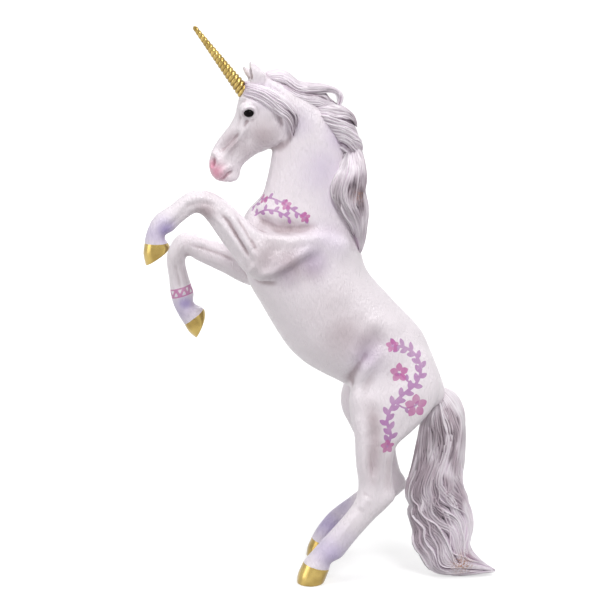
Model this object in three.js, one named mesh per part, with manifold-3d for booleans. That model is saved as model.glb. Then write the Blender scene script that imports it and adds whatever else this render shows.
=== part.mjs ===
// A rearing unicorn figurine, built as it is assembled: separate PVC mouldings that plug together.
// Millimetres, +Z up. The animal faces -X, its left side is -Y, and it stands on two hooves and its tail.
import * as THREE from 'three';
import { mergeVertices } from 'three/addons/utils/BufferGeometryUtils.js';
import Module from 'manifold-3d';

const wasm = await Module();
wasm.setup();

// Driving sizes
const FIGURE_HEIGHT = 186.3; // from the floor to the horn's tip
const SEAM = 0.3; // glue gap between neighbouring mouldings
const BARREL_WIDTH = 33; // across the ribs
const NECK_WIDTH = 19; // across the neck where it leaves the shoulders
const HEAD_WIDTH = 13.6; // across the brows
const ARM_WIDTH = 13; // across one upper arm
const HAUNCH_WIDTH = 13.6; // across one thigh
const FORE_STANCE = 23; // between the middles of the forelegs
const HIND_STANCE = 26; // between the middles of the hind legs
const FORE_HOOF_WIDTH = 9;
const HIND_HOOF_WIDTH = 10;
const HORN_LENGTH = 26;
const HORN_BASE_DIAMETER = 4.8;
const HORN_TIP_DIAMETER = 1.3;
const HORN_TURNS = 12; // turns of the spiral groove
const HORN_GROOVE = 0.28; // depth of that groove at the root
const HORN_TANG_DIAMETER = 2.6;
const HORN_TANG_LENGTH = 5;
const EYE_DIAMETER = 3.4;
const JOWL_DIAMETER = 13.6; // of the round cheek
const EAR_SPACING = 7; // between the middles of the ears
const EAR_TURN = 1.8; // how far the right ear's tip leans forward
const EAR_DROP = 2.2; // and how far it drops
const MOUTH_GAP = 0.35; // width of the slit between the lips
const MANE_WIDTH = 9; // across the crest of hair
const TAIL_WIDTH = 11.5; // across the tail, side to side
const TAIL_SWING = 10; // how far the tail's tip swings to the left
const NECK_PEG_DIAMETER = 9;
const NECK_PEG_LENGTH = 9;
const LEG_PEG_DIAMETER = 5;
const LEG_PEG_LENGTH = 8;
const HOOF_PEG_DIAMETER = 3;
const HOOF_PEG_LENGTH = 4;
const TAIL_PEG_DIAMETER = 4;
const TAIL_PEG_LENGTH = 8;
const HAIR_PEG_DIAMETER = 2.2;
const HAIR_PEG_LENGTH = 5.7;
const PEG_TAPER = 0.86; // the end of a peg against its root
const LOCK_RELIEF = 0.09; // how far the strands stand out of a lock, against its half width
const FACET = 0.08; // facets that stand out less than this are merged

// Finishes
const finish = (color, roughness, metalness) => (
  new THREE.MeshStandardMaterial({ color, roughness, metalness })
);
const pearlCoat = finish(0xe9e1ec, 0.38, 0);
const washedHair = finish(0xc4b6c6, 0.5, 0);
const goldLacquer = finish(0xc19a35, 0.35, 0.8);
const glossBlack = finish(0x140f14, 0.12, 0);

// Solids and geometries
function solidFrom(geometry) {
  const loose = geometry.index ? geometry.toNonIndexed() : geometry;
  const bare = new THREE.BufferGeometry().setAttribute('position', loose.getAttribute('position'));
  const merged = mergeVertices(bare, 1e-4);
  return new wasm.Manifold(new wasm.Mesh({
    numProp: 3,
    vertProperties: new Float32Array(merged.attributes.position.array),
    triVerts: new Uint32Array(merged.index.array),
  }));
}

function geometryFrom(solid) {
  const mesh = solid.simplify(FACET).getMesh();
  const geometry = new THREE.BufferGeometry();
  geometry.setAttribute('position', new THREE.BufferAttribute(mesh.vertProperties, 3));
  geometry.setIndex(new THREE.BufferAttribute(mesh.triVerts, 1));
  geometry.computeVertexNormals();
  return geometry;
}

const join = (...solids) => solids.reduce((whole, piece) => whole.add(piece));
const cut = (solid, ...tools) => tools.reduce((rest, tool) => rest.subtract(tool), solid);

// The largest body of a solid: crumbs that a cut leaves inside a seam are dropped.
const larger = (best, body) => (body.volume() > best.volume() ? body : best);
const mainBody = (solid) => solid.decompose().reduce(larger);

// The outlines below were measured on the photo, at a size where the horn's tip is this high.
const OUTLINE_HEIGHT = 186.3;
const stretch = FIGURE_HEIGHT / OUTLINE_HEIGHT;
const sidePoint = (x, z, y = 0) => new THREE.Vector3(x * stretch, y, z * stretch);
const up = new THREE.Vector3(0, 1, 0);

// A geometry set down at a point, with its own +Y turned to a direction.
function placed(geometry, point, direction = up) {
  const turn = new THREE.Quaternion().setFromUnitVectors(up, direction.clone().normalize());
  return solidFrom(geometry.clone().applyQuaternion(turn).translate(point.x, point.y, point.z));
}

// A round peg that starts at a point and runs along a direction. Its socket is the same peg, grown.
function peg(point, direction, diameter, length, grow = 0) {
  const tall = length + grow;
  const body = new THREE.CylinderGeometry(diameter * PEG_TAPER / 2 + grow, diameter / 2 + grow, tall, 14);
  return placed(body.translate(0, tall / 2, 0), point, direction);
}

function ellipsoid(centre, radii, grow = 0) {
  return placed(new THREE.SphereGeometry(1, 12, 6).scale(...radii.map((radius) => radius + grow)), centre);
}

// The space on one side of a plane, as far as it is asked to reach.
const EVERYWHERE = 300;
function beyond(point, direction, reach = EVERYWHERE) {
  return placed(new THREE.BoxGeometry(reach, reach, reach).translate(0, reach / 2, 0), point, direction);
}

// A closed surface through rings of points, with a pole at either end.
function skin(poleA, rings, poleB) {
  const around = rings[0].length;
  const points = [poleA, ...rings.flat(), poleB];
  const at = (row, k) => 1 + row * around + (k % around);
  const faces = [];
  for (let k = 0; k < around; k++) {
    faces.push(0, at(0, k + 1), at(0, k));
    for (let row = 0; row + 1 < rings.length; row++) {
      const [a, b, c, d] = [at(row, k), at(row, k + 1), at(row + 1, k + 1), at(row + 1, k)];
      faces.push(a, b, c, a, c, d);
    }
    faces.push(points.length - 1, at(rings.length - 1, k), at(rings.length - 1, k + 1));
  }
  const geometry = new THREE.BufferGeometry().setFromPoints(points);
  geometry.setIndex(faces);
  if (solidFrom(geometry).volume() < 0) geometry.setIndex(faces.reverse());
  return geometry;
}

// A loft through cross-sections. Each section has two outline points [x, z] in the side view, a half
// width across the animal, and a distance from the middle plane.
const section = (front, back, halfWidth, side = 0) => ({ front, back, halfWidth, side });
const smooth = (points) => new THREE.CatmullRomCurve3(points, false, 'catmullrom', 0.5);

function loft(sections, options = {}) {
  const { around = 16, rows = 2, grow = 0, dome = [1, 1], egg = 0, locks = 0, turn = 0 } = options;
  const fronts = smooth(sections.map((s) => sidePoint(...s.front, s.side)));
  const backs = smooth(sections.map((s) => sidePoint(...s.back, s.side)));
  const widths = smooth(sections.map((s, i) => new THREE.Vector3(i, s.halfWidth, 0)));
  const last = (sections.length - 1) * rows;
  const slices = Array.from({ length: last + 1 }, (_, i) => {
    const t = i / last;
    const centre = fronts.getPoint(t).lerp(backs.getPoint(t), 0.5);
    const depth = fronts.getPoint(t).sub(centre);
    depth.setLength(depth.length() + grow);
    return { centre, depth, width: widths.getPoint(t).y + grow, t };
  });
  // A rounded end is two shrinking slices and a pole.
  const rounded = (slice, next, height) => {
    const out = slice.centre.clone().sub(next.centre).setLength(height + grow);
    const shrunk = [0.5, 0.85].map((rise) => {
      const share = Math.sqrt(1 - rise * rise);
      const centre = slice.centre.clone().addScaledVector(out, rise);
      const depth = slice.depth.clone().multiplyScalar(share);
      return { centre, depth, width: slice.width * share, t: slice.t };
    });
    return { shrunk, pole: slice.centre.clone().add(out) };
  };
  const start = rounded(slices[0], slices[1], dome[0]);
  const end = rounded(slices[last], slices[last - 1], dome[1]);
  const rings = [...start.shrunk.reverse(), ...slices, ...end.shrunk].map((slice) => (
    Array.from({ length: around }, (_, k) => {
      const angle = (2 * Math.PI * k) / around;
      const strand = locks ? 1 + LOCK_RELIEF * Math.cos(locks * angle + turn * slice.t) : 1;
      const across = Math.sin(angle) * strand * (1 + egg * Math.cos(angle)) * slice.width;
      const point = slice.centre.clone().addScaledVector(slice.depth, Math.cos(angle) * strand);
      return point.setY(point.y + across);
    })
  ));
  return solidFrom(skin(start.pole, rings, end.pole));
}

// The plane across a limb at one of its sections: its middle, and the way the limb runs there.
function seamAt(sections, index) {
  const middle = (s) => sidePoint((s.front[0] + s.back[0]) / 2, (s.front[1] + s.back[1]) / 2, s.side);
  const here = sections[index];
  const across = sidePoint(here.back[0] - here.front[0], here.back[1] - here.front[1]);
  const along = middle(sections[index + 1]).sub(middle(here));
  along.addScaledVector(across, -along.dot(across) / across.lengthSq());
  return { point: middle(here), normal: along.setY(0).normalize() };
}
const past = (seam, distance) => seam.point.clone().addScaledVector(seam.normal, distance);
const near = (solid, seam, reach) => solid.subtract(beyond(seam.point, seam.normal, reach));
const far = (solid, seam) => solid.intersect(beyond(past(seam, SEAM), seam.normal));

// A peg across a seam starts a little outside the plane, so that both faces are cut cleanly.
const seamPeg = (seam, diameter, length, grow = 0) => (
  peg(past(seam, SEAM * 2), seam.normal.clone().negate(), diameter, length + SEAM * 2, grow)
);

const SIDES = { left: -1, right: 1 };
const bothSides = (make) => Object.entries(SIDES).flatMap(([name, side]) => make(name, side));

// Trunk: breast, ribs, loin and croup. Front points run along the belly, back points along the spine.
const rib = BARREL_WIDTH / 2;
const trunkSections = [
  section([-26.6, 121], [11, 119.5], rib * 0.7),
  section([-26.6, 112], [13.8, 113], rib * 0.88),
  section([-23.8, 101.5], [15.2, 107], rib * 0.96),
  section([-20.2, 95], [17.6, 103], rib * 0.98),
  section([-15.5, 86.6], [21.6, 98.5], rib),
  section([-9.8, 78], [26.6, 93], rib),
  section([-3, 72.3], [31.4, 88], rib * 0.97),
  section([4, 68.6], [35.2, 83.4], rib * 0.93),
  section([11, 64.5], [38, 77], rib * 0.88),
  section([20, 59.5], [40.8, 70], rib * 0.78),
  section([28, 56.5], [42.4, 65], rib * 0.6),
];
const trunk = (grow) => loft(trunkSections, { around: 18, grow, dome: [4, 5], egg: 0.08 });

// Limbs: outlines [shin side, tendon side] from the top of the limb to the coronet, then the hoof's.
const limbLoft = (sections, grow = 0) => loft(sections, { around: 12, grow, dome: [3, 0.6] });

const foreOutlines = {
  left: [
    [[9, 118], [3, 104]],
    [[-2, 120.2], [-5, 103]],
    [[-11, 120.4], [-13, 102.4]],
    [[-18, 120.2], [-20.5, 103.6]],
    [[-20.6, 121], [-26, 107.8]],
    [[-23.8, 123.8], [-29.6, 113]],
    [[-27.6, 127.4], [-32.6, 117]],
    [[-31.4, 131], [-35.4, 121.3]],
    [[-35.4, 133.4], [-38, 124.9]],
    [[-40, 134.4], [-40, 126.6]],
    [[-44.4, 133.2], [-42, 126.4]],
    [[-49, 129.6], [-46, 123.4]],
    [[-53.4, 126.8], [-48.5, 120.9]],
    [[-55.8, 123.8], [-51, 119.6]],
    [[-57.3, 120], [-51, 118.2]],
    [[-57.9, 117.4], [-50.2, 117.4]],
  ],
  right: [
    [[9, 117], [4, 103]],
    [[-2, 118.6], [-4.6, 100.6]],
    [[-11, 117.6], [-12.5, 98]],
    [[-19.6, 115], [-20, 97]],
    [[-25.6, 113], [-25.6, 98.8]],
    [[-31.5, 113.4], [-30.8, 101.9]],
    [[-37, 115], [-36, 104.5]],
    [[-41.8, 116.4], [-40.6, 106.8]],
    [[-46.6, 115.9], [-43.6, 108.6]],
    [[-50, 111.6], [-44.4, 107]],
    [[-51, 106.8], [-44.3, 104.8]],
    [[-50.2, 100.6], [-43.2, 100.4]],
    [[-49.8, 95.4], [-41.7, 95.6]],
    [[-48.6, 91], [-42, 92.4]],
    [[-46.6, 87], [-40.4, 91.2]],
    [[-45.4, 84.9], [-38.6, 90.4]],
  ],
};
const foreHoofOutlines = {
  left: [[[-57.9, 117.1], [-50.2, 117.1]], [[-58.3, 113.6], [-49.6, 115.9]], [[-57.6, 109.5], [-50, 114.6]]],
  right: [[[-45.2, 84.6], [-38.4, 90.1]], [[-43.6, 82], [-37.9, 88.6]], [[-41.2, 79.8], [-38, 87]]],
};
const hindOutlines = {
  left: [
    [[18, 82], [37, 77]],
    [[11.6, 72.6], [40.6, 67.6]],
    [[9.2, 65.5], [38.6, 60.5]],
    [[9, 60.3], [34.6, 55.8]],
    [[9.8, 55.3], [29.8, 51.4]],
    [[10.8, 50.2], [25.6, 48]],
    [[11.1, 44.5], [24, 43.6]],
    [[11.6, 39], [23.6, 38.5]],
    [[12.2, 34.4], [24.2, 33]],
    [[11.4, 29.2], [24.8, 29]],
    [[8.6, 24.6], [18.4, 22.6]],
    [[4.9, 20.2], [13, 16.6]],
    [[1.6, 16.6], [9.8, 12.6]],
    [[-0.8, 13.8], [6.8, 8.8]],
    [[-3.2, 11], [4, 7.4]],
    [[-5, 9], [3, 6.3]],
    [[-6.2, 7.6], [2.9, 5.1]],
  ],
  right: [
    [[18, 80], [37, 75]],
    [[11.4, 69.6], [40.4, 65.6]],
    [[8.4, 61.5], [38.4, 59]],
    [[8.1, 56], [35, 54]],
    [[9.3, 52], [31.6, 49.5]],
    [[11.4, 48], [28.8, 45.4]],
    [[13.6, 43.5], [28, 41]],
    [[15.8, 38.8], [28.4, 36.4]],
    [[18, 32.8], [29.8, 30.6]],
    [[18.4, 27], [32.3, 24.8]],
    [[15.4, 23.8], [24.4, 18.6]],
    [[10.6, 20.2], [16, 13.4]],
    [[5.6, 16.4], [10.4, 9.4]],
    [[2.4, 12.8], [7.6, 6.6]],
    [[0.4, 10], [5, 5.8]],
    [[-0.6, 8.2], [5.2, 5.1]],
    [[-1.4, 6.9], [6.4, 4.5]],
  ],
};
const hindHoofOutlines = {
  left: [[[-6.3, 7.3], [2.8, 4.8]], [[-8, 3.4], [1.8, 2.2]], [[-8.6, 0], [0.8, 0]]],
  right: [[[-1.5, 6.6], [6.3, 4.2]], [[-2.9, 3.2], [5.6, 2]], [[-3.4, 0], [4.8, 0]]],
};

// Half widths down a limb, as shares: the muscle follows the arm or the haunch, the shank the hoof.
const shares = (size, list) => list.map((share) => size * share);
const foreWidths = [
  ...shares(ARM_WIDTH / 2, [0.5, 0.8, 1, 1, 0.92, 0.83, 0.76, 0.7]),
  ...shares(FORE_HOOF_WIDTH / 2, [0.95, 0.92, 0.8, 0.73, 0.82, 0.78, 0.86, 0.92]),
];
const hindWidths = [
  ...shares(HAUNCH_WIDTH / 2, [0.6, 0.88, 1, 0.97, 0.9, 0.82]),
  ...shares(HIND_HOOF_WIDTH / 2, [1, 0.92, 0.88, 0.88, 0.78, 0.74, 0.76, 0.84, 0.78, 0.84, 0.92]),
];
// The top of a limb lies closer to the middle plane than its foot.
const foreSpread = [0.72, 0.9];
const hindSpread = [0.6, 0.7, 0.77, 0.83, 0.9, 0.96];

const LIMBS = {
  fore: {
    outlines: foreOutlines, hoofOutlines: foreHoofOutlines, widths: foreWidths, spread: foreSpread,
    reach: FORE_STANCE / 2, hoofWidth: FORE_HOOF_WIDTH, seamIndex: 4,
  },
  hind: {
    outlines: hindOutlines, hoofOutlines: hindHoofOutlines, widths: hindWidths, spread: hindSpread,
    reach: HIND_STANCE / 2, hoofWidth: HIND_HOOF_WIDTH, seamIndex: 5,
  },
};

// One limb's sections, the seam where it plugs into the trunk, and the seam above its hoof.
function limb(kind, name) {
  const { outlines, hoofOutlines, widths, spread, reach, hoofWidth, seamIndex } = LIMBS[kind];
  const side = SIDES[name] * reach;
  const sections = outlines[name].map(([front, back], i) => (
    section(front, back, widths[i], side * (spread[i] ?? 1))
  ));
  const hoofSections = hoofOutlines[name].map(([front, back], i) => (
    section(front, back, (hoofWidth / 2) * [0.93, 0.97, 1][i], side)
  ));
  const coronet = seamAt([sections[sections.length - 1], hoofSections[2]], 0);
  return { sections, hoofSections, seam: seamAt(sections, seamIndex), coronet };
}
const limbs = Object.fromEntries(Object.keys(LIMBS).flatMap((kind) => (
  bothSides((name) => [[`${name}_${kind}`, limb(kind, name)]])
)));

// Neck, skull and ears
const throat = NECK_WIDTH / 2;
const neckSections = [
  section([-26.6, 117.6], [14.2, 111.5], throat * 1.3),
  section([-24.8, 124.9], [12, 119], throat * 1.14),
  section([-19, 131], [10.4, 127.2], throat),
  section([-17.2, 137], [9.6, 135], throat * 0.92),
  section([-16.3, 141.4], [9, 142], throat * 0.86),
  section([-15.6, 146.4], [7, 149.4], throat * 0.8),
  section([-15, 151.5], [3.6, 156], throat * 0.75),
  section([-15, 156.5], [-1.6, 161.6], throat * 0.7),
  section([-16, 161], [-8, 166.4], throat * 0.63),
  section([-17.5, 164.5], [-14, 169.6], throat * 0.5),
];
const neckSeam = seamAt(neckSections, 2);
const neck = (grow) => loft(neckSections, { around: 16, rows: 1, grow, dome: [3, 1] });

const brow = HEAD_WIDTH / 2;
const headSections = [
  section([-20.6, 170.6], [-10.8, 164.6], brow * 0.72),
  section([-24.6, 167.6], [-9.8, 159.4], brow * 0.88),
  section([-26.6, 162.4], [-10.6, 154.6], brow),
  section([-27.8, 157.4], [-12, 149.6], brow * 0.95),
  section([-29.7, 153.8], [-15.6, 146.2], brow * 0.84),
  section([-32.4, 150.4], [-20.4, 144.4], brow * 0.7),
  section([-34.6, 147.4], [-24, 141.8], brow * 0.62),
  section([-36, 144], [-25.7, 139.8], brow * 0.6),
  section([-36.5, 141.2], [-26.1, 137.7], brow * 0.61),
  section([-36.1, 138.4], [-26.8, 136.2], brow * 0.56),
  section([-34.9, 136.5], [-28.4, 135.6], brow * 0.42),
];
const faceSpots = {
  jowl: [-17.6, 153],
  socket: [-23.4, 159.8],
  eye: [-23.5, 158.4],
  nostril: [-36.2, 141.4],
  mouthCorner: [-28.8, 138.8],
};
const jowlRadii = [JOWL_DIAMETER * 0.485, brow * 0.62, JOWL_DIAMETER * 0.507];
const socketRadii = [EYE_DIAMETER * 0.94, brow * 0.44, EYE_DIAMETER * 0.76];
const nostrilRadii = [brow * 0.13, brow * 0.12, brow * 0.19];
const skull = (grow) => join(
  loft(headSections, { around: 14, grow, dome: [1.5, 0.8], egg: -0.06 }),
  ...bothSides((name, side) => [
    ellipsoid(sidePoint(...faceSpots.jowl, side * brow * 0.42), jowlRadii, grow),
    ellipsoid(sidePoint(...faceSpots.socket, side * brow * 0.62), socketRadii, grow),
  ]),
);
const nostril = (side) => ellipsoid(sidePoint(...faceSpots.nostril, side * brow * 0.4), nostrilRadii);
const mouthDepth = HEAD_WIDTH * 0.66; // from the lips to the corner of the mouth, and a little beyond
const mouth = () => placed(
  new THREE.BoxGeometry(mouthDepth, MOUTH_GAP, HEAD_WIDTH).translate(-mouthDepth / 2, 0, 0),
  sidePoint(...faceSpots.mouthCorner), sidePoint(-0.42, 0.9),
);
const eye = (side, grow = 0) => ellipsoid(
  sidePoint(...faceSpots.eye, side * (brow * 1.02 - EYE_DIAMETER * 0.36)),
  [EYE_DIAMETER * 0.5, EYE_DIAMETER * 0.42, EYE_DIAMETER * 0.4], grow,
);

const earTilt = { left: [0, 0], right: [-EAR_TURN, -EAR_DROP] };
function earSections(name, rows) {
  const side = SIDES[name] * EAR_SPACING / 2;
  return rows.map(([front, back, halfWidth, spread, lean]) => {
    const tilted = (point) => point.map((value, axis) => value + earTilt[name][axis] * lean);
    return section(tilted(front), tilted(back), halfWidth, side * spread);
  });
}
const earLeafRows = [
  [[-22.6, 166.6], [-17, 168.2], 1.9, 0.86, 0],
  [[-23.3, 169.4], [-17.6, 170.8], 1.9, 1, 0.3],
  [[-23.5, 172], [-19.6, 172.6], 1.5, 1.06, 0.7],
  [[-23.1, 174.2], [-21.7, 174.5], 0.7, 1.08, 1],
];
const earHollowRows = [
  [[-24.4, 168.8], [-21.4, 169.6], 1.1, 1.12, 0.3],
  [[-24.4, 171.6], [-21.8, 172], 0.9, 1.16, 0.7],
  [[-23.9, 173.4], [-22.9, 173.6], 0.4, 1.14, 1],
];
const earLeaf = (name, grow = 0) => (
  loft(earSections(name, earLeafRows), { around: 10, grow, dome: [0.5, 0.7] })
);
const earHollow = (name) => (
  loft(earSections(name, earHollowRows), { around: 8, rows: 1, dome: [0.4, 0.4] })
);

// Horn: a tapered rod with a spiral groove, and a tang that goes into the forehead.
const hornLine = { root: [-25.2, 165.2], towards: [-40.8, 185.9] };
const hornRoot = sidePoint(...hornLine.root);
const hornAim = sidePoint(...hornLine.towards).sub(hornRoot).normalize();
const hornFoot = HORN_BASE_DIAMETER / 2; // how far the rod starts inside the forehead
function horn() {
  const around = 8;
  const rowsPerTurn = 4;
  const rows = HORN_TURNS * rowsPerTurn;
  const rings = Array.from({ length: rows + 1 }, (_, row) => {
    const t = row / rows;
    const radius = THREE.MathUtils.lerp(HORN_BASE_DIAMETER, HORN_TIP_DIAMETER, t) / 2;
    const depth = HORN_GROOVE * THREE.MathUtils.lerp(1, 0.4, t);
    const rise = row ? t * HORN_LENGTH : -hornFoot;
    return Array.from({ length: around }, (__, k) => {
      const angle = (2 * Math.PI * k) / around;
      const phase = angle - (2 * Math.PI * row) / rowsPerTurn;
      const grooved = radius - depth * (0.5 - 0.5 * Math.cos(phase));
      return new THREE.Vector3(Math.cos(angle) * grooved, rise, Math.sin(angle) * grooved);
    });
  });
  const tip = new THREE.Vector3(0, HORN_LENGTH + HORN_TIP_DIAMETER * 0.3, 0);
  return placed(skin(new THREE.Vector3(0, -hornFoot, 0), rings, tip), hornRoot, hornAim);
}
// The hair keeps clear of a plain cone round the rod, whatever the groove does.
const hornClear = placed(
  new THREE.CylinderGeometry(HORN_TIP_DIAMETER / 2 + SEAM, HORN_BASE_DIAMETER / 2 + SEAM, HORN_LENGTH, 16)
    .translate(0, HORN_LENGTH / 2 - hornFoot, 0),
  hornRoot, hornAim,
);
const hornTang = (grow = 0) => peg(
  hornRoot.clone().addScaledVector(hornAim, hornFoot), hornAim.clone().negate(),
  HORN_TANG_DIAMETER, HORN_TANG_LENGTH + hornFoot, grow,
);

// Hair: lofts whose sections are fluted into strands.
const hairLoft = (sections, locks, grow = 0) => loft(sections, {
  around: locks * 4, grow, dome: [1, 0.8], locks, turn: 2.5,
});
const crest = MANE_WIDTH / 2;
const forelockSections = [
  section([-24.6, 168.4], [-26.6, 163.2], 3.4, -brow * 0.21),
  section([-19, 167], [-21, 161.8], 2.8, -brow * 0.68),
  section([-13, 163.4], [-16, 159.6], 2.2, -brow * 0.91),
  section([-8.8, 158.4], [-11.6, 156.2], 1.8, -brow * 1.03),
  section([-7.2, 154], [-10.2, 153], 1.5, -brow * 1.06),
  section([-8.2, 150.2], [-9.7, 149.8], 0.8, -brow * 1.03),
];
const maneTopSections = [
  section([-17.6, 171.2], [-14.4, 166.4], crest * 0.7),
  section([-12, 171], [-11.4, 164.6], crest * 0.9),
  section([-8, 168.6], [-7.2, 161.6], crest),
  section([-3.4, 166.8], [-3.6, 159], crest),
  section([2.8, 166.6], [2.6, 157.4], crest * 0.8),
];
const maneCurlSections = [
  section([-2, 167], [-2.6, 163.4], crest * 0.53),
  section([2.2, 167.1], [1.8, 164.6], crest * 0.47),
  section([5.6, 165.9], [4.6, 164], crest * 0.42),
  section([7.9, 163.4], [6, 162.7], crest * 0.4),
  section([8.1, 160.4], [6, 161.2], crest * 0.4),
  section([6, 158.2], [4.2, 160.4], crest * 0.44),
  section([2.4, 157.4], [1.6, 160.6], crest * 0.51),
  section([-1, 158], [-1.6, 161.4], crest * 0.53),
];
const maneCrestSections = [
  section([4.6, 158], [0, 155], crest * 0.7),
  section([9.6, 158], [2.6, 151.6], crest * 0.95),
  section([13.2, 154.4], [4.6, 147.6], crest),
  section([14.2, 149.4], [6, 143.4], crest),
  section([14.9, 145], [6.6, 140], crest * 0.95),
  section([15, 141], [6.4, 137.4], crest * 0.7),
];
const fallSide = -MANE_WIDTH * 0.31; // the fall hangs more on the left
const maneFallSections = [
  section([14.6, 143.6], [5, 141], crest * 0.8, fallSide * 0.6),
  section([14.2, 138.6], [1.8, 138], crest * 1.3, fallSide),
  section([13.9, 133.2], [0.4, 132.6], crest * 1.45, fallSide),
  section([14.5, 127.6], [1.8, 126.4], crest * 1.5, fallSide),
  section([15.2, 121.4], [5, 119.6], crest * 1.35, fallSide),
  section([15, 115.6], [8.8, 113.8], crest * 0.95, fallSide),
  section([14.6, 110.6], [12.4, 110.2], crest * 0.4, fallSide),
];
const tailHalf = TAIL_WIDTH / 2;
const tailSections = [
  [[36.6, 59.4], [40.8, 65], 0.5, 0],
  [[38, 57.2], [44.2, 62.2], 0.64, 0.05],
  [[37, 54.6], [47.4, 57.2], 0.82, 0.15],
  [[35.2, 50], [48.4, 50.5], 0.92, 0.25],
  [[33.6, 43.5], [48.3, 43.2], 0.95, 0.38],
  [[32.2, 36], [48, 34.8], 0.96, 0.5],
  [[31.3, 28.6], [48.9, 28.2], 1, 0.6],
  [[31.2, 21.6], [51, 22.1], 1, 0.7],
  [[32.2, 15], [52.3, 16], 1, 0.8],
  [[33.4, 8.8], [52, 11], 0.96, 0.9],
  [[36.8, 3.6], [53.2, 8], 0.88, 0.96],
  [[42.8, 0.4], [55.2, 5], 0.72, 1],
  [[50.6, -0.4], [58.2, 3.3], 0.54, 1],
  [[57.4, -0.6], [60.6, 1.8], 0.32, 1],
].map(([front, back, share, swing]) => section(front, back, tailHalf * share, -TAIL_SWING * swing));

const maneTop = (grow) => join(
  hairLoft(maneTopSections, 5, grow),
  loft(maneCurlSections, { around: 8, grow, dome: [0.6, 0.6] }),
);
const maneCrest = (grow) => hairLoft(maneCrestSections, 5, grow);
const maneFall = (grow) => hairLoft(maneFallSections, 6, grow);

// Pegs that hold the mane on the crest of the neck, and the tail in the croup.
const hairPegLines = {
  mane_top_lock: { root: [-6.4, 166.6], aim: [-0.55, -0.83] },
  mane_crest_lock: { root: [8, 151.4], aim: [-0.83, -0.55] },
  mane_fall_lock: { root: [11.8, 132], aim: [-1, -0.1] },
};
const tailPegLine = { root: [43.4, 60.4], aim: [-0.78, 0.62] };
const manePeg = (name, grow) => {
  const { root, aim } = hairPegLines[name];
  return peg(sidePoint(...root), sidePoint(...aim), HAIR_PEG_DIAMETER, HAIR_PEG_LENGTH, grow);
};
const tailPeg = (grow = 0) => peg(
  sidePoint(...tailPegLine.root), sidePoint(...tailPegLine.aim), TAIL_PEG_DIAMETER, TAIL_PEG_LENGTH, grow,
);

// The trunk with the stumps that the limbs and the neck plug into
const trunkForm = (grow) => join(
  trunk(grow),
  near(neck(grow), neckSeam),
  ...Object.values(limbs).map(({ sections, seam }) => near(limbLoft(sections, grow), seam)),
);
const limbPeg = (seam, grow) => seamPeg(seam, LEG_PEG_DIAMETER, LEG_PEG_LENGTH, grow);
const hoofPeg = (coronet, grow) => seamPeg(coronet, HOOF_PEG_DIAMETER, HOOF_PEG_LENGTH, grow);
const neckPeg = (grow) => seamPeg(neckSeam, NECK_PEG_DIAMETER, NECK_PEG_LENGTH, grow);

// What a neighbour has to keep clear of
const trunkClear = trunkForm(SEAM);
const neckClear = neck(SEAM);
const skullClear = skull(SEAM);
const earsClear = bothSides((name) => earLeaf(name, SEAM));
const headClear = [skullClear, neckClear, ...earsClear];

const torso = () => cut(
  trunkForm(0),
  neckPeg(SEAM),
  tailPeg(SEAM),
  ...Object.values(limbs).map(({ seam }) => limbPeg(seam, SEAM)),
);

const headAndNeck = () => mainBody(cut(
  join(far(neck(0), neckSeam), neckPeg(0), skull(0), ...bothSides((name) => earLeaf(name))),
  mouth(),
  hornTang(SEAM),
  ...bothSides((name, side) => [eye(side, SEAM), nostril(side), earHollow(name)]),
  ...Object.keys(hairPegLines).map((name) => manePeg(name, SEAM)),
));

// Only the foot is cut off at the coronet: a bent limb has its elbow beyond that plane as well.
function leg({ sections, seam, coronet }) {
  const shank = near(far(limbLoft(sections), seam), coronet, HIND_HOOF_WIDTH * 2);
  return mainBody(join(cut(shank, trunkClear, hoofPeg(coronet, SEAM)), limbPeg(seam, 0)));
}

function hoof({ hoofSections, coronet }) {
  const sole = hoofSections[2];
  const across = sidePoint(sole.back[0] - sole.front[0], sole.back[1] - sole.front[1]);
  const normal = sidePoint(across.z, -across.x).normalize();
  const ground = { point: sidePoint(...sole.front, sole.side), normal };
  const block = loft(hoofSections, { around: 16, rows: 3, dome: [0.1, 0.6] });
  return join(near(far(block, coronet), ground), hoofPeg(coronet, 0));
}

const forelock = () => (
  mainBody(cut(hairLoft(forelockSections, 4), ...headClear, hornClear, eye(SIDES.left, SEAM * 2)))
);
const maneNeighbours = {
  mane_top_lock: [maneTop(0), headClear],
  mane_crest_lock: [maneCrest(0), [neckClear, maneTop(SEAM)]],
  mane_fall_lock: [maneFall(0), [neckClear, trunkClear, maneCrest(SEAM)]],
};
const floor = { point: new THREE.Vector3(), normal: new THREE.Vector3(0, 0, -1) };
const tail = () => join(mainBody(near(cut(hairLoft(tailSections, 6), trunkClear), floor)), tailPeg());

// The figure: every moulding under its own name
const unicorn = new THREE.Group();
function add(name, solid, material) {
  const mesh = new THREE.Mesh(geometryFrom(solid), material);
  mesh.name = name;
  unicorn.add(mesh);
}

add('torso', torso(), pearlCoat);
add('head_and_neck', headAndNeck(), pearlCoat);
for (const [name, side] of Object.entries(SIDES)) {
  add(`${name}_foreleg`, leg(limbs[`${name}_fore`]), pearlCoat);
  add(`${name}_fore_hoof`, hoof(limbs[`${name}_fore`]), goldLacquer);
  add(`${name}_hind_leg`, leg(limbs[`${name}_hind`]), pearlCoat);
  add(`${name}_hind_hoof`, hoof(limbs[`${name}_hind`]), goldLacquer);
  add(`${name}_eye`, eye(side), glossBlack);
}
add('horn', join(mainBody(horn().subtract(skullClear)), hornTang()), goldLacquer);
add('forelock', forelock(), washedHair);
for (const [name, [form, neighbours]] of Object.entries(maneNeighbours)) {
  add(name, join(mainBody(cut(form, ...neighbours)), manePeg(name, 0)), washedHair);
}
add('tail', tail(), washedHair);

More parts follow.
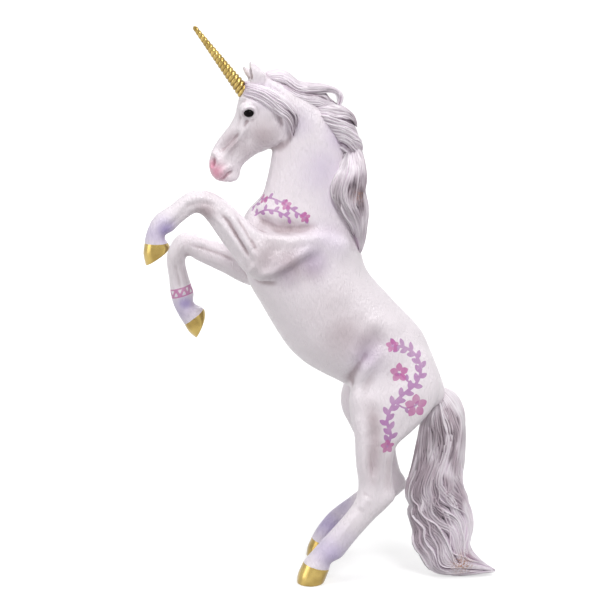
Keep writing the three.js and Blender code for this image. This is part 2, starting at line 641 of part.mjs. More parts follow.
// Set down with the middle of its footprint at the origin
const box = new THREE.Box3().setFromObject(unicorn);
const middle = box.getCenter(new THREE.Vector3());
unicorn.children.forEach((mesh) => mesh.position.set(-middle.x, -middle.y, -box.min.z));

export default unicorn;
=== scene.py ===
# %% [markdown]
# # A rearing unicorn figurine
# The real thing is a small animal moulded in PVC. It is sprayed pearl white, shaded with lilac by
# airbrush, and finished by hand: gold hooves and horn, a black eye, a wash in the grooves of its hair, a
# painted vine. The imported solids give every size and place. This file gives them skin, hair, paint, a
# floor and light.

# %% load the solids
import math

import bmesh
import bpy
import numpy as np
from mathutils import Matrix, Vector
from mathutils.bvhtree import BVHTree


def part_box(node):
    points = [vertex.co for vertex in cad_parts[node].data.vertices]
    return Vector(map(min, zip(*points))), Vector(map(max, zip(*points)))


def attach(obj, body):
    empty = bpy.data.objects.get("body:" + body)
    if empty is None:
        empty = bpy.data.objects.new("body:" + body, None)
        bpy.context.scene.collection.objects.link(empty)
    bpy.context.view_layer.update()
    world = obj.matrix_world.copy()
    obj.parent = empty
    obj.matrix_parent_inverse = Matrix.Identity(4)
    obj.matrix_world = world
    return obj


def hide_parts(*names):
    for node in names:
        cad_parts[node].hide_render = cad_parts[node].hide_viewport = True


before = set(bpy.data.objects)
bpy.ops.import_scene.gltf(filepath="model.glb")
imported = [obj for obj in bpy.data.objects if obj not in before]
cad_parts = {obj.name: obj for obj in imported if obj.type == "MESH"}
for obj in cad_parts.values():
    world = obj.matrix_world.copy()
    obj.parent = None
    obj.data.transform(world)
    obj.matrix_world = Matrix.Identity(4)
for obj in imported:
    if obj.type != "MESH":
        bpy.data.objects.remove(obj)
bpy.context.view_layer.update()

MM = 0.001  # a millimetre, in Blender's metres
chance = np.random.default_rng(7)

# %% [markdown]
# ## The camera
# The photograph was taken from a little above and a little to the front, with a long lens. Copying that
# first means that every later step can be compared with the picture.

# %% camera
LOOK_AT = Vector((-7.7, 0.0, 95.0)) * MM
CAMERA_TURN = math.radians(-4)
CAMERA_RISE = math.radians(12)
CAMERA_AWAY = 600 * MM
LENS = 107.5  # in millimetres, on a 36 mm sensor
CLIP_NEAR, CLIP_FAR = 0.05, 50  # in metres

camera = bpy.data.objects.new("camera", bpy.data.cameras.new("camera"))
bpy.context.scene.collection.objects.link(camera)
bpy.context.scene.camera = camera
toward_camera = Vector((
    math.sin(CAMERA_TURN) * math.cos(CAMERA_RISE),
    -math.cos(CAMERA_TURN) * math.cos(CAMERA_RISE),
    math.sin(CAMERA_RISE),
))
camera.location = LOOK_AT + toward_camera * CAMERA_AWAY
camera.rotation_euler = (-toward_camera).to_track_quat("-Z", "Y").to_euler()
camera.data.lens = LENS
camera.data.clip_start, camera.data.clip_end = CLIP_NEAR, CLIP_FAR
print("camera at", [round(x, 3) for x in camera.location])

# %% [markdown]
# ## The skin
# The coat is one smooth surface over six mouldings and four hooves, and the seams between them are hidden
# under paint. Each solid could be smoothed alone, but then every seam would show as a groove. So all of
# them are swollen a little, melted together by a voxel remesh, and faired. The skin is cut apart again
# later.

# %% weld a solid
WELD = 0.005  # corners closer than this are one


def welded(node):
    """A CAD node's corners in millimetres, their normals, and its faces."""
    cage = bmesh.new()
    cage.from_mesh(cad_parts[node].data)
    bmesh.ops.remove_doubles(cage, verts=cage.verts, dist=WELD * MM)
    cage.normal_update()
    corners = np.array([v.co for v in cage.verts]) / MM
    normals = np.array([v.normal for v in cage.verts])
    faces = [[v.index for v in face.verts] for face in cage.faces]
    cage.free()
    return corners, normals, faces


# %% melt the solids together
SIDES = {"left": -1, "right": 1}
HOOVES = [f"{side}_{pair}_hoof" for pair in ("fore", "hind") for side in SIDES]
LEGS = [f"{side}_{leg}" for leg in ("foreleg", "hind_leg") for side in SIDES]
SKIN_NODES = ["torso", "head_and_neck", *LEGS, *HOOVES]
EYES = ["left_eye", "right_eye"]  # they only fill their sockets here
SWELL = 0.22  # more than half of the gap between two solids
VOXEL = 0.36


def melted(nodes):
    """One closed quad surface round several solids: points in millimetres, and faces."""
    corners, faces = [], []
    for node in nodes:
        places, normals, polygons = welded(node)
        faces += [[len(corners) + i for i in polygon] for polygon in polygons]
        corners += list((places + SWELL * normals) * MM)
    mesh = bpy.data.meshes.new("lump")
    mesh.from_pydata(corners, [], faces)
    lump = bpy.data.objects.new("lump", mesh)
    bpy.context.scene.collection.objects.link(lump)
    voxels = lump.modifiers.new("voxels", "REMESH")
    voxels.mode = "VOXEL"
    voxels.voxel_size = VOXEL * MM
    result = lump.evaluated_get(bpy.context.evaluated_depsgraph_get()).to_mesh()
    points = np.empty(len(result.vertices) * 3)
    result.vertices.foreach_get("co", points)
    quads = np.array([polygon.vertices for polygon in result.polygons])
    bpy.data.objects.remove(lump)
    bpy.data.meshes.remove(mesh)
    return points.reshape(-1, 3) / MM, quads


skin, quads = melted(SKIN_NODES + EYES)
print("melted skin:", len(skin), "points,", quads.shape, "faces")

# %% [markdown]
# Fairing needs to know each point's neighbours. A table with one row per point lets numpy do all points
# at once. Short rows are filled up with the point itself.

# %% neighbours of every point
def neighbour_table(count, quads):
    """The neighbours of each point, and a factor that makes up for the filled places of a row."""
    edges = np.concatenate([quads[:, [k, (k + 1) % 4]] for k in range(4)])
    edges = np.unique(np.sort(edges, axis=1), axis=0)
    pairs = np.concatenate([edges, edges[:, ::-1]])
    pairs = pairs[np.argsort(pairs[:, 0], kind="stable")]
    degree = np.bincount(pairs[:, 0], minlength=count)
    place = np.arange(len(pairs)) - (np.cumsum(degree) - degree)[pairs[:, 0]]
    table = np.repeat(np.arange(count)[:, None], degree.max(), axis=1)
    table[pairs[:, 0], place] = pairs[:, 1]
    return table, (table.shape[1] / np.maximum(degree, 1)).astype(np.float32)


def outer_shell(points, quads):
    """Drops the shells that the sockets leave inside."""
    table, _ = neighbour_table(len(points), quads)
    reached = np.zeros(len(points), bool)
    front = np.array([points[:, 0].argmin()])
    while len(front):
        reached[front] = True
        front = np.unique(table[front])
        front = front[~reached[front]]
    renumber = np.cumsum(reached) - 1
    return points[reached], renumber[quads[reached[quads[:, 0]]]]


skin, quads = outer_shell(skin, quads)
neighbours, gain = neighbour_table(len(skin), quads)
print("outer shell:", len(skin), "points")

# %% which moulding a point belongs to
FAR = 4.0  # distances beyond this don't matter
BOX_MARGIN = 1.0  # only points this close to a solid's box are measured
OWNER_ROUNDS = 4


def distance_to(node, points):
    """Distance from each point to a solid, where it is near."""
    corners, _, faces = welded(node)
    tree = BVHTree.FromPolygons(corners.tolist(), faces)
    away = np.full(len(points), FAR, np.float32)
    close = np.all((points > corners.min(0) - BOX_MARGIN) & (points < corners.max(0) + BOX_MARGIN), axis=1)
    for i in np.flatnonzero(close):
        away[i] = tree.find_nearest(Vector(points[i]), FAR)[3] or FAR
    return away


def relaxed(values, strength, rounds):
    """Moves every value towards the mean of its neighbours, again and again."""
    step = (strength * gain).reshape(-1, *[1] * (values.ndim - 1)).astype(np.float32)
    values = values.astype(np.float32)
    for _ in range(rounds):
        values = values + step * (values[neighbours].mean(1) - values)
    return values


EVEN = np.full(len(skin), 0.7, np.float32)  # the same strength everywhere
nearness = np.stack([distance_to(node, skin) for node in SKIN_NODES], axis=1)
owner = relaxed(nearness, EVEN, OWNER_ROUNDS).argmin(1)
print("points per moulding:", {n: int((owner == i).sum()) for i, n in enumerate(SKIN_NODES)})

# %% [markdown]
# Plain smoothing shrinks thin legs. Here the skin is smoothed, the part that was lost is smoothed as well
# and added back, twice. That takes out facets and keeps volumes. The broad barrel gets much, the face
# little.

# %% fair the skin
FAIRING = {"torso": 0.8, "head_and_neck": 0.45}
LEG_FAIRING, HOOF_FAIRING, FACE_FAIRING, EAR_FAIRING, ELBOW_FAIRING = 0.14, 0.05, 0.1, 0.03, 0.2
BLEND_ROUNDS = 40  # to blend these strengths into each other
FACE_FRONT = -12.0  # the face lies in front of this, above the throat
FACE_FLOOR, EAR_FLOOR = 134.0, 168.5
ELBOW_BACK, ELBOW_FLOOR, ELBOW_TOP, ELBOW_INSIDE = -15.0, 101.0, 122.0, 5.0


def point_normals(points):
    """Directions out of the skin."""
    a, b, c, d = (points[quads[:, k]] for k in range(4))
    across = np.cross(c - a, d - b)
    total = np.zeros_like(points)
    for k in range(4):
        for axis in range(3):
            total[:, axis] += np.bincount(quads[:, k], across[:, axis], len(points))
    return total / np.maximum(np.linalg.norm(total, axis=1, keepdims=True), 1e-9)


def fairing_strength():
    """How strongly each point is smoothed."""
    x, y, z = skin.T
    by_node = [FAIRING.get(n, HOOF_FAIRING if n in HOOVES else LEG_FAIRING) for n in SKIN_NODES]
    strength = np.array(by_node)[owner]
    on_head = owner == SKIN_NODES.index("head_and_neck")
    strength[on_head & (x < FACE_FRONT) & (z > FACE_FLOOR)] = FACE_FAIRING
    strength[on_head & (z > EAR_FLOOR)] = EAR_FAIRING
    at_elbow = (x < ELBOW_BACK) & (z > ELBOW_FLOOR) & (z < ELBOW_TOP) & (np.abs(y) > ELBOW_INSIDE)
    strength[at_elbow] = np.minimum(strength[at_elbow], ELBOW_FAIRING)
    return relaxed(strength, EVEN, BLEND_ROUNDS)


def faired(points, strength, rounds=150):
    smooth = relaxed(points, strength, rounds)
    for _ in range(2):
        smooth = smooth + relaxed(points - smooth, strength, rounds)
    return smooth


skin = faired(skin, fairing_strength())
skin = skin - SWELL * point_normals(skin)
print("faired skin spans", np.round(skin.min(0), 1), "to", np.round(skin.max(0), 1))

# %% [markdown]
# ## Modelling the muscles
# A sculptor works the master with wire tools: ridges where bone lies under the skin, grooves between
# muscles. The same is done here with strokes. A stroke is a path in the side view with a height and a
# width, and it lifts or presses every point near it along the surface's own direction. Its ends fade out.

# %% modelling strokes
SIDE_GAIN, SIDE_OFFSET = 2.2, 0.2  # how fast a stroke fades where the skin turns away from the side
END_EASE = 3.5  # a stroke has its full height after 1 / 3.5 of its length


def along_path(points, path):
    """For each point: its distance to a path, and how far along the path that is, from 0 to 1."""
    path = np.asarray(path, float)
    lengths = np.maximum(np.linalg.norm(np.diff(path, axis=0), axis=1), 1e-6)
    away, reached = np.full(len(points), np.inf), np.zeros(len(points))
    for start, end, length, before in zip(path[:-1], path[1:], lengths, np.cumsum(lengths) - lengths):
        share = np.clip((points - start) @ (end - start) / length ** 2, 0, 1)
        gap = np.linalg.norm(points - start - share[:, None] * (end - start), axis=1)
        nearer = gap < away
        away[nearer] = gap[nearer]
        reached[nearer] = (before + share * length)[nearer]
    return away, reached / lengths.sum()


def on_side(side, normals):
    """How much a point faces the left (-1), the right (1), or either side (0)."""
    facing = normals[:, 1] * side if side else np.abs(normals[:, 1])
    return np.clip(facing * SIDE_GAIN - SIDE_OFFSET, 0, 1)


def modelled(points, strokes, side, nodes):
    """The skin after strokes of (path, height, width), on one side of some mouldings."""
    normals = point_normals(points)
    reach = np.isin(owner, [SKIN_NODES.index(node) for node in nodes]) * on_side(side, normals)
    lift = np.zeros(len(points))
    for path, height, width in strokes:
        away, share = along_path(points[:, [0, 2]], path)
        closed = tuple(path[0]) == tuple(path[-1])
        ease = np.clip(END_EASE * np.minimum(share, 1 - share), 0, 1)
        if closed:
            ease = np.ones(len(points))
        lift += height * ease * ease * (3 - 2 * ease) * np.exp(-(away / width) ** 2)
    return points + (lift * reach)[:, None] * normals


def ring(centre, across, tall, lean=0.0, count=20):
    """A closed oval path in the side view."""
    turns = np.linspace(0, 2 * math.pi, count + 1) % (2 * math.pi)
    wide, high = across * np.cos(turns), tall * np.sin(turns)
    x = centre[0] + wide * math.cos(lean) - high * math.sin(lean)
    z = centre[1] + wide * math.sin(lean) + high * math.cos(lean)
    return list(zip(x, z))


eye_low, eye_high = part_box("left_eye")
EYE_SPOT = tuple(((eye_low + eye_high) / 2 / MM).xz)
print("eye at", [round(x, 1) for x in EYE_SPOT])

# %% head
FACE_STROKES = [
    ([(-28.0, 162.2), (-25.6, 162.9), (-22.5, 161.6), (-20.9, 158.8)], 0.7, 0.9),  # brow
    (ring(EYE_SPOT, 0.3, 0.2), -0.5, 1.9),  # socket
    (ring(EYE_SPOT, 2.2, 1.9, 0.1), 0.65, 0.5),  # lids
    ([(-23.6, 156.8), (-25.6, 153.2), (-27.4, 150.6), (-30.6, 147.0), (-33.2, 143.2)], 1.1, 0.8),  # cheek
    ([(-26.0, 157.6), (-27.0, 153.6), (-28.2, 151.4)], 0.6, 0.7),  # in front of it
    ([(-24.8, 156.4), (-26.2, 153.2)], -0.4, 0.4),  # tear line
    ([(-27.4, 152.6), (-30.0, 149.8), (-33.0, 147.0), (-35.8, 144.6)], -1.6, 1.5),  # beside the nose
    ([(-22.4, 152.0), (-25.4, 149.0), (-29.4, 144.6), (-31.6, 141.0)], -0.5, 2.2),  # below the cheekbone
    ([(-37.9, 143.6), (-37.0, 145.4), (-35.3, 144.6), (-34.4, 142.2), (-35.0, 140.6)], 0.6, 0.6),  # nose rim
    ([(-36.3, 143.8), (-36.4, 142.0), (-36.9, 140.2)], -1.3, 0.6),  # nostril
    ([(-34.4, 134.8), (-33.0, 136.6), (-31.6, 138.3), (-29.4, 139.4)], -1.0, 0.45),  # mouth
    ([(-35.0, 137.4), (-33.4, 139.4), (-31.0, 140.8), (-29.0, 141.0)], 0.5, 0.8),  # upper lip
    ([(-32.0, 135.6), (-29.6, 136.4), (-28.0, 136.6)], 0.6, 1.2),  # chin
    ([(-15.4, 163.0), (-13.2, 158.6), (-12.8, 154.0), (-13.8, 150.2), (-17.2, 146.9)], 0.7, 1.2),  # jowl
    ([(-9.8, 160.0), (-10.2, 155.0), (-11.6, 150.2), (-14.4, 145.6), (-16.0, 143.6)], -0.8, 1.3),  # throat
]
skin = modelled(skin, FACE_STROKES, 0, ["head_and_neck"])
print("strokes on the head:", len(FACE_STROKES))

# %% shoulder and forelegs
SHOULDER_STROKES = [
    (
        [(-27.4, 124.6), (-23.4, 121.0), (-19.3, 118.8), (-13.1, 118.2), (-6.9, 118.4), (5.0, 117.8)],
        1.0, 1.6,
    ),  # upper edge of the arm
    (
        [(-24.4, 128.4), (-21.0, 123.6), (-16.0, 121.6), (-9.6, 121.4), (-1.0, 121.8)],
        -1.6, 1.6,
    ),  # hollow under the collar
    (
        [(-26.6, 103.2), (-20.2, 104.0), (-16.8, 104.9), (-11.0, 107.7), (-5.6, 111.2), (1.0, 115.0)],
        -1.4, 1.8,
    ),  # groove under the arm
    (
        [(-24.8, 106.4), (-21.0, 106.8), (-15.2, 109.6), (-9.0, 113.3), (-3.0, 116.6)],
        0.9, 1.5,
    ),  # lower edge of the arm
    ([(-20.6, 106.6), (-20.0, 112.0), (-18.0, 115.0), (-12.0, 116.4)], -0.7, 2.2),  # before the elbow
]
LEFT_ARM_STROKES = [
    ([(-38.9, 127.7), (-35.7, 125.6), (-31.6, 120.6), (-28.0, 115.5), (-25.6, 111.4)], 0.6, 0.9),
    ([(-35.4, 128.4), (-31.9, 124.6), (-29.3, 119.8), (-26.2, 114.4), (-24.8, 111.6)], -0.95, 0.75),
    ([(-33.0, 128.8), (-30.0, 124.9), (-27.1, 119.4), (-24.3, 114.8), (-22.4, 110.6)], 0.75, 0.8),
    ([(-30.4, 127.6), (-27.4, 123.4), (-24.6, 118.6), (-22.0, 113.4)], -0.5, 1.0),
    ([(-29.0, 113.4), (-27.8, 109.8), (-26.0, 107.6), (-24.0, 109.4), (-22.0, 112.6)], 0.6, 1.1),  # elbow
    ([(-48.3, 126.5), (-44.6, 129.6), (-40.9, 130.6), (-36.4, 129.8), (-34.4, 128.0)], -0.6, 1.1),  # knee
    ([(-44.0, 128.6), (-48.0, 125.6), (-53.0, 121.6)], -0.35, 0.8),  # tendon
]
RIGHT_ARM_STROKES = [
    ([(-46.0, 113.4), (-40.0, 111.8), (-34.0, 109.8), (-27.0, 106.4)], -0.7, 1.0),
    ([(-44.0, 110.0), (-38.0, 107.8), (-33.0, 106.0), (-27.0, 103.2)], 0.5, 1.1),
    ([(-49.4, 108.0), (-48.6, 103.0), (-47.2, 96.0)], -0.5, 0.9),
    ([(-46.2, 107.0), (-45.6, 102.0), (-44.6, 96.0)], -0.4, 0.8),
]
skin = modelled(skin, SHOULDER_STROKES, 0, ["torso", "head_and_neck", "left_foreleg", "right_foreleg"])
skin = modelled(skin, LEFT_ARM_STROKES, -1, ["left_foreleg", "torso"])
skin = modelled(skin, RIGHT_ARM_STROKES, 0, ["right_foreleg"])
print("strokes on the shoulder and arms:", len(SHOULDER_STROKES + LEFT_ARM_STROKES + RIGHT_ARM_STROKES))

# %% flank and hind legs
FLANK_STROKES = [
    ([(15.0, 81.0), (11.0, 76.0), (8.4, 71.0), (7.4, 64.0)], -1.5, 1.9),  # fold of the flank
    ([(19.0, 82.0), (13.0, 74.6), (10.4, 68.0), (9.8, 58.0)], 1.0, 1.9),  # edge of the thigh
    ([(20.0, 86.5), (15.0, 82.0), (10.0, 78.0)], -1.3, 3.4),  # hollow before the hip
    ([(12.0, 91.5), (19.0, 89.4), (27.0, 86.4)], 0.6, 2.6),  # hip
    ([(16.8, 57.0), (16.2, 50.0), (15.8, 44.0), (15.6, 37.0)], -0.8, 2.2),  # hollow of the thigh
    ([(18.6, 74.0), (17.6, 68.0), (15.6, 60.0)], 0.5, 3.2),  # swell of the thigh
    ([(33.0, 66.0), (27.0, 57.0), (21.6, 50.0)], -0.4, 2.6),
    ([(4.0, 100.0), (8.0, 90.0), (9.0, 80.0)], -0.5, 4.5),  # behind the ribs
]
LEFT_HIND_STROKES = [
    ([(12.4, 60.0), (12.2, 48.0), (12.6, 41.0), (13.4, 33.0)], 0.5, 1.1),
    ([(14.6, 60.0), (14.4, 48.0), (14.8, 40.0), (15.4, 32.0)], -0.55, 1.7),
    ([(17.0, 56.0), (16.9, 42.0), (16.8, 31.0)], 0.6, 1.1),
    ([(19.8, 53.0), (19.5, 41.0), (20.0, 30.0)], -0.8, 1.3),  # in front of the tendon
    ([(14.0, 31.6), (12.6, 28.4), (11.6, 26.0)], 0.6, 1.4),  # inside of the hock
    ([(11.0, 26.0), (7.0, 20.4), (3.0, 15.0)], 0.4, 1.0),
]
RIGHT_HIND_SHIFT = (3.5, -2.5)  # from the left hind leg to the right one, in the side view
RIGHT_HIND_STROKES = [
    ([(x + RIGHT_HIND_SHIFT[0], z + RIGHT_HIND_SHIFT[1]) for x, z in path], height, width)
    for path, height, width in LEFT_HIND_STROKES
]
SOFTENING, SOFTENING_ROUNDS = 0.5, 2  # takes the tool marks out
skin = modelled(skin, FLANK_STROKES, 0, ["torso", "left_hind_leg", "right_hind_leg"])
for name, strokes in (("left", LEFT_HIND_STROKES), ("right", RIGHT_HIND_STROKES)):
    leg = f"{name}_hind_leg"
    skin = modelled(skin, strokes, SIDES[name], [leg, "torso"])
    skin = modelled(skin, strokes, -SIDES[name], [leg])
skin = relaxed(skin, EVEN * SOFTENING, SOFTENING_ROUNDS)
skin[:, 2] = np.maximum(skin[:, 2], 0)
print("lowest point of the skin:", round(float(skin[:, 2].min()), 3), "mm")

# %% [markdown]
# ## Airbrushed colour and painted shade
# The painter mists lilac into the hollows and on the pasterns, and rose on the muzzle. A grey layer is
# painted shade: it darkens the hollows and creases where the muscles part, and the cheek, arm, flank and
# thigh where less light reaches. Each mist is a soft round spot or a long sweep. Its strength at every
# point is kept as an attribute, which the paint reads later.

# %% airbrushed spots and painted shade
skin_normals = point_normals(skin)


def mist(spots, points):
    """Paint strength 0 to 1 from spots of (x, y, z, radius, strength)."""
    strength = np.zeros(len(points))
    for x, y, z, radius, most in spots:
        away = np.linalg.norm(points - (x, y, z), axis=1)
        strength = np.maximum(strength, most * np.exp(-(away / radius) ** 2))
    return strength


def both(*spots):
    """The same spots on either side of the animal."""
    return [(x, side * y, z, radius, most) for x, y, z, radius, most in spots for side in SIDES.values()]


LILAC_SPOTS = both(
    (0.0, 8.0, 140.0, 8.0, 0.6), (5.0, 5.0, 150.0, 6.0, 0.6), (4.0, 9.0, 131.0, 7.0, 0.4),
    (-4.0, 15.0, 112.0, 6.0, 0.6), (2.0, 13.0, 118.0, 7.0, 0.5), (-13.0, 16.0, 107.0, 5.0, 0.3),
    (14.0, 14.0, 79.0, 6.0, 0.5), (-19.0, 6.0, 164.0, 4.0, 0.5), (-8.0, 7.0, 155.0, 5.0, 0.4),
)
VIOLET_SPOTS = [
    (-54.6, -11.5, 119.6, 4.8, 0.8), (-52.4, -13.5, 122.0, 3.4, 1.0), (-46.6, 11.5, 90.6, 4.8, 0.8),
    (-46.2, 9.0, 92.6, 2.8, 1.0), (2.0, -13.0, 10.6, 5.8, 0.9), (6.0, -13.0, 15.0, 5.0, 0.4),
    (4.0, 13.0, 11.4, 6.0, 1.0), (9.0, 13.0, 17.0, 5.0, 0.7),
]
ROSE_SPOTS = both(
    (-35.4, 3.0, 138.8, 3.0, 1.0), (-37.0, 2.4, 140.6, 2.4, 1.0), (-37.4, 1.0, 138.0, 2.6, 0.8),
)
# painted shade: spots and sweeps darken the cheek, the side of the nose, the arm, the knee's underside, the
# flank and the thigh
SHADE_SPOTS = both(
    (13.0, 16.0, 83.0, 6.5, 0.8), (6.0, 17.0, 86.0, 8.0, 0.7), (-20.0, 6.5, 151.0, 5.5, 0.75),
    (-31.0, 4.5, 148.6, 3.6, 1.0), (-13.0, 11.0, 121.4, 4.2, 0.8), (-12.5, 16.5, 110.0, 6.4, 1.0),
    (-5.5, 16.5, 109.6, 5.5, 0.8), (2.0, 16.0, 94.0, 10.0, 0.3), (-20.0, 9.0, 122.6, 3.2, 0.7),
    (-18.5, 15.5, 112.5, 6.5, 0.75), (-39.5, 14.5, 127.5, 3.8, 1.0), (-26.0, 5.0, 146.0, 4.0, 0.5),
)
SHADE_SWEEPS = [  # paths in the side view, with a radius and a strength
    ([(13.6, 66.0), (15.6, 58.0), (16.2, 50.0), (15.8, 42.0), (15.4, 33.0)], 2.6, 0.75),  # down the thigh
    ([(21.0, 47.0), (20.6, 40.0), (20.6, 31.0)], 1.5, 0.5),  # before the tendon
]
SWEEP_EASE = 4  # a sweep has its full strength after a quarter of its length
FINE_HOLLOWS, BROAD_HOLLOWS = (10, 0.12), (90, 1.0)  # rounds of smoothing, and the depth of a full shade
BROAD_SHARE, HOLLOW_BLUR = 0.9, 3
CLEARLY = 0.3  # paint that is counted below


def swept(sweeps):
    """Painted shade from long sweeps, which fade out at their ends."""
    strength = np.zeros(len(skin))
    for path, radius, most in sweeps:
        away, share = along_path(skin[:, [0, 2]], path)
        fade = np.clip(SWEEP_EASE * np.minimum(share, 1 - share), 0, 1)
        strength = np.maximum(strength, most * fade * np.exp(-(away / radius) ** 2))
    return strength * on_side(0, skin_normals)


# painted shade in hollows and creases: the deeper a point lies, the darker it is painted
def sunk_below(rounds, depth):
    """How far each point lies below its smoothed surroundings, as a share of a depth."""
    below = np.einsum("ij,ij->i", relaxed(skin, EVEN, rounds) - skin, skin_normals)
    return np.clip(relaxed(below, EVEN, HOLLOW_BLUR) / depth, 0, 1)


# shade is painted shade, from the hollows of the skin, the spots and the sweeps
paint = {
    "shade": np.max([
        sunk_below(*FINE_HOLLOWS), BROAD_SHARE * sunk_below(*BROAD_HOLLOWS),
        mist(SHADE_SPOTS, skin), swept(SHADE_SWEEPS),
    ], axis=0),
    "lilac": mist(LILAC_SPOTS, skin),
    "violet": mist(VIOLET_SPOTS, skin),
    "rose": mist(ROSE_SPOTS, skin),
}
print("painted points:", {name: int((value > CLEARLY).sum()) for name, value in paint.items()})

# %% [markdown]
# ## The painted vine
# A flowering vine climbs the haunch and runs round the collar, and a wavy band rings one foreleg. Such
# motifs are as old as painted furniture. A stencil image could carry them. Brush strokes are kept
# instead, as paths with a half width that lie on the skin. Each point stores how deep it lies inside a
# stroke, in millimetres, so the edge stays crisp.

# %% lay a path on the skin
SIDEWAYS, OFF_MIDDLE = 0.15, 2  # skin that faces a side, and lies clear of the middle
MARK_STEPS = 6


def smooth_line(rows, shares):
    """Points on a smooth curve through rows of numbers, at shares 0 to 1 of it.

    Every share may have rows of its own.
    """
    shares = np.clip(np.asarray(shares, float), 0, 1)
    rows = np.broadcast_to(np.asarray(rows, float), (*shares.shape, *np.shape(rows)[-2:]))
    before = 2 * rows[..., :1, :] - rows[..., 1:2, :]
    after = 2 * rows[..., -1:, :] - rows[..., -2:-1, :]
    padded = np.concatenate([before, rows, after], axis=-2)
    place = shares * (rows.shape[-2] - 1)
    first = np.minimum(place.astype(int), rows.shape[-2] - 2)
    t = (place - first)[..., None]
    p0, p1, p2, p3 = (
        np.take_along_axis(padded, (first + k)[..., None, None], axis=-2)[..., 0, :] for k in range(4)
    )
    return p1 + 0.5 * t * (p2 - p0 + t * (2 * p0 - 5 * p1 + 4 * p2 - p3 + t * (3 * (p1 - p2) + p3 - p0)))


def laid_on(path, side, count=60):
    """A smooth path in the side view, laid on the skin of one side."""
    outside = np.flatnonzero((side * skin_normals[:, 1] > SIDEWAYS) & (side * skin[:, 1] > OFF_MIDDLE))
    flat = skin[outside][:, [0, 2]]
    line = smooth_line(path, np.linspace(0, 1, count))
    depth = [skin[outside[((flat - spot) ** 2).sum(1).argmin()], 1] for spot in line]
    return np.column_stack([line[:, 0], depth, line[:, 1]])


def mark(start, step, side):
    """A short straight stroke. It is shortened in the side view where the skin turns away."""
    whole = laid_on([start, start + step], side, MARK_STEPS)
    on_skin = np.linalg.norm(np.diff(whole, axis=0), axis=1).sum()
    return laid_on([start, start + step * np.linalg.norm(step) / on_skin], side, MARK_STEPS)


# %% brush strokes: stems, leaves and flowers
STEM, FINE_STEM = 0.5, 0.3  # half widths in millimetres, the fine one on the collar and the side stalks
LEAF, PETAL = 0.26, 0.4  # half widths as shares of a length
LEAF_ENDS = (0.04, 0.97)  # where the first and the last leaf leave a stem
DIAGONAL = 0.7  # a leaf points as much ahead as aside
PETAL_COUNT, PETAL_INNER, PETAL_TURN = 5, 0.15, 0.05
FULLNESS = 0.7  # of a pointed stroke: a smaller number makes it fuller
UNPAINTED, BRUSH_MARGIN = -1.0, 2


def leaves_along(stem, count, length, side):
    """Leaves that leave a stem to both sides in turn."""
    spots = smooth_line(stem, np.linspace(*LEAF_ENDS, count))
    ahead = np.gradient(spots, axis=0)
    ahead /= np.linalg.norm(ahead, axis=1, keepdims=True)
    across = ahead[:, ::-1] * (-1, 1)
    steps = [DIAGONAL * length * (ahead[k] + (-1) ** k * across[k]) for k in range(count)]
    return [(mark(spot, step, side), LEAF * length, True) for spot, step in zip(spots, steps)]


def petals_round(spot, size, side):
    """Petals round a spot."""
    turns = 2 * math.pi * (np.arange(PETAL_COUNT) / PETAL_COUNT + PETAL_TURN)
    rays = size * np.stack([np.cos(turns), np.sin(turns)], axis=1)
    half = PETAL * size * (1 - PETAL_INNER)
    return [(mark(spot + PETAL_INNER * ray, (1 - PETAL_INNER) * ray, side), half, True) for ray in rays]


def painted(strokes):
    """How deep each point of the skin lies inside strokes of (path, half width, pointed), in millimetres."""
    depth = np.full(len(skin), UNPAINTED)
    for path, half, pointed in strokes:
        close = np.all((skin > path.min(0) - BRUSH_MARGIN) & (skin < path.max(0) + BRUSH_MARGIN), axis=1)
        away, share = along_path(skin[close], path)
        brush = half * np.sin(math.pi * share) ** FULLNESS if pointed else half
        depth[close] = np.maximum(depth[close], brush - away)
    return depth


# %% the vine's course
HAUNCH_STEM = [
    (20.2, 48.4), (21.2, 52.6), (20.0, 57.4), (21.8, 62.4), (25.8, 66.2), (30.0, 69.4), (31.6, 73.8),
    (30.0, 78.2), (26.2, 81.0), (22.0, 82.0),
]
HAUNCH_STEPS, HAUNCH_LEAVES, HAUNCH_LEAF = 150, 26, 3.3  # steps of the stem, its leaves and their length
HAUNCH_STALKS = [[(22.6, 63.4), (26.0, 61.4), (29.6, 61.8)], [(29.4, 68.8), (27.0, 70.2), (24.6, 72.6)]]
HAUNCH_FLOWERS = [((29.8, 61.8), 4.1), ((24.2, 73.0), 3.3), ((22.0, 82.0), 2.4), ((20.2, 48.4), 2.6)]
COLLAR_PATHS = [
    [(-23.6, 126.0), (-21.6, 129.0), (-17.8, 130.4), (-13.2, 128.8), (-9.8, 126.4), (-6.0, 124.2)],
    [(-22.8, 124.6), (-19.6, 126.6), (-15.6, 126.4), (-11.8, 124.4)],
]
COLLAR_FLOWERS, COLLAR_FLOWER = (0.3, 0.62, 0.96), 1.9  # their places along the upper vine, and their size
FINE_LEAVES, FINE_LEAF = (12, 8, 3, 3), 2.3  # on the collar's two vines and the two stalks
BRACELET = np.array((-47.05, 11.5, 96.5))
BRACELET_TILT, BRACELET_SIZE, BRACELET_WAVES = 0.28, 0.75, 8
BAND_RIM, BAND_HEIGHT = 0.25, 1.8  # half width of the two rims, and their height in wave sizes
BAND_REACH = 8  # nothing further from the leg's middle is painted


def wave_band(centre, tilt, size, waves):
    """A wavy line round a leg: how deep each point lies in it."""
    x, y, z = (skin - centre).T
    height = z - tilt * x
    turn = np.arctan2(y, x)
    slope = size * waves * np.cos(waves * turn) / np.maximum(np.hypot(x, y), 1)
    wave = STEM - np.abs(height - size * np.sin(waves * turn)) / np.hypot(1, slope)
    rims = BAND_RIM - np.abs(np.abs(height) - BAND_HEIGHT * size)
    return np.where(np.hypot(x, y) < BAND_REACH, np.maximum(wave, rims), UNPAINTED)


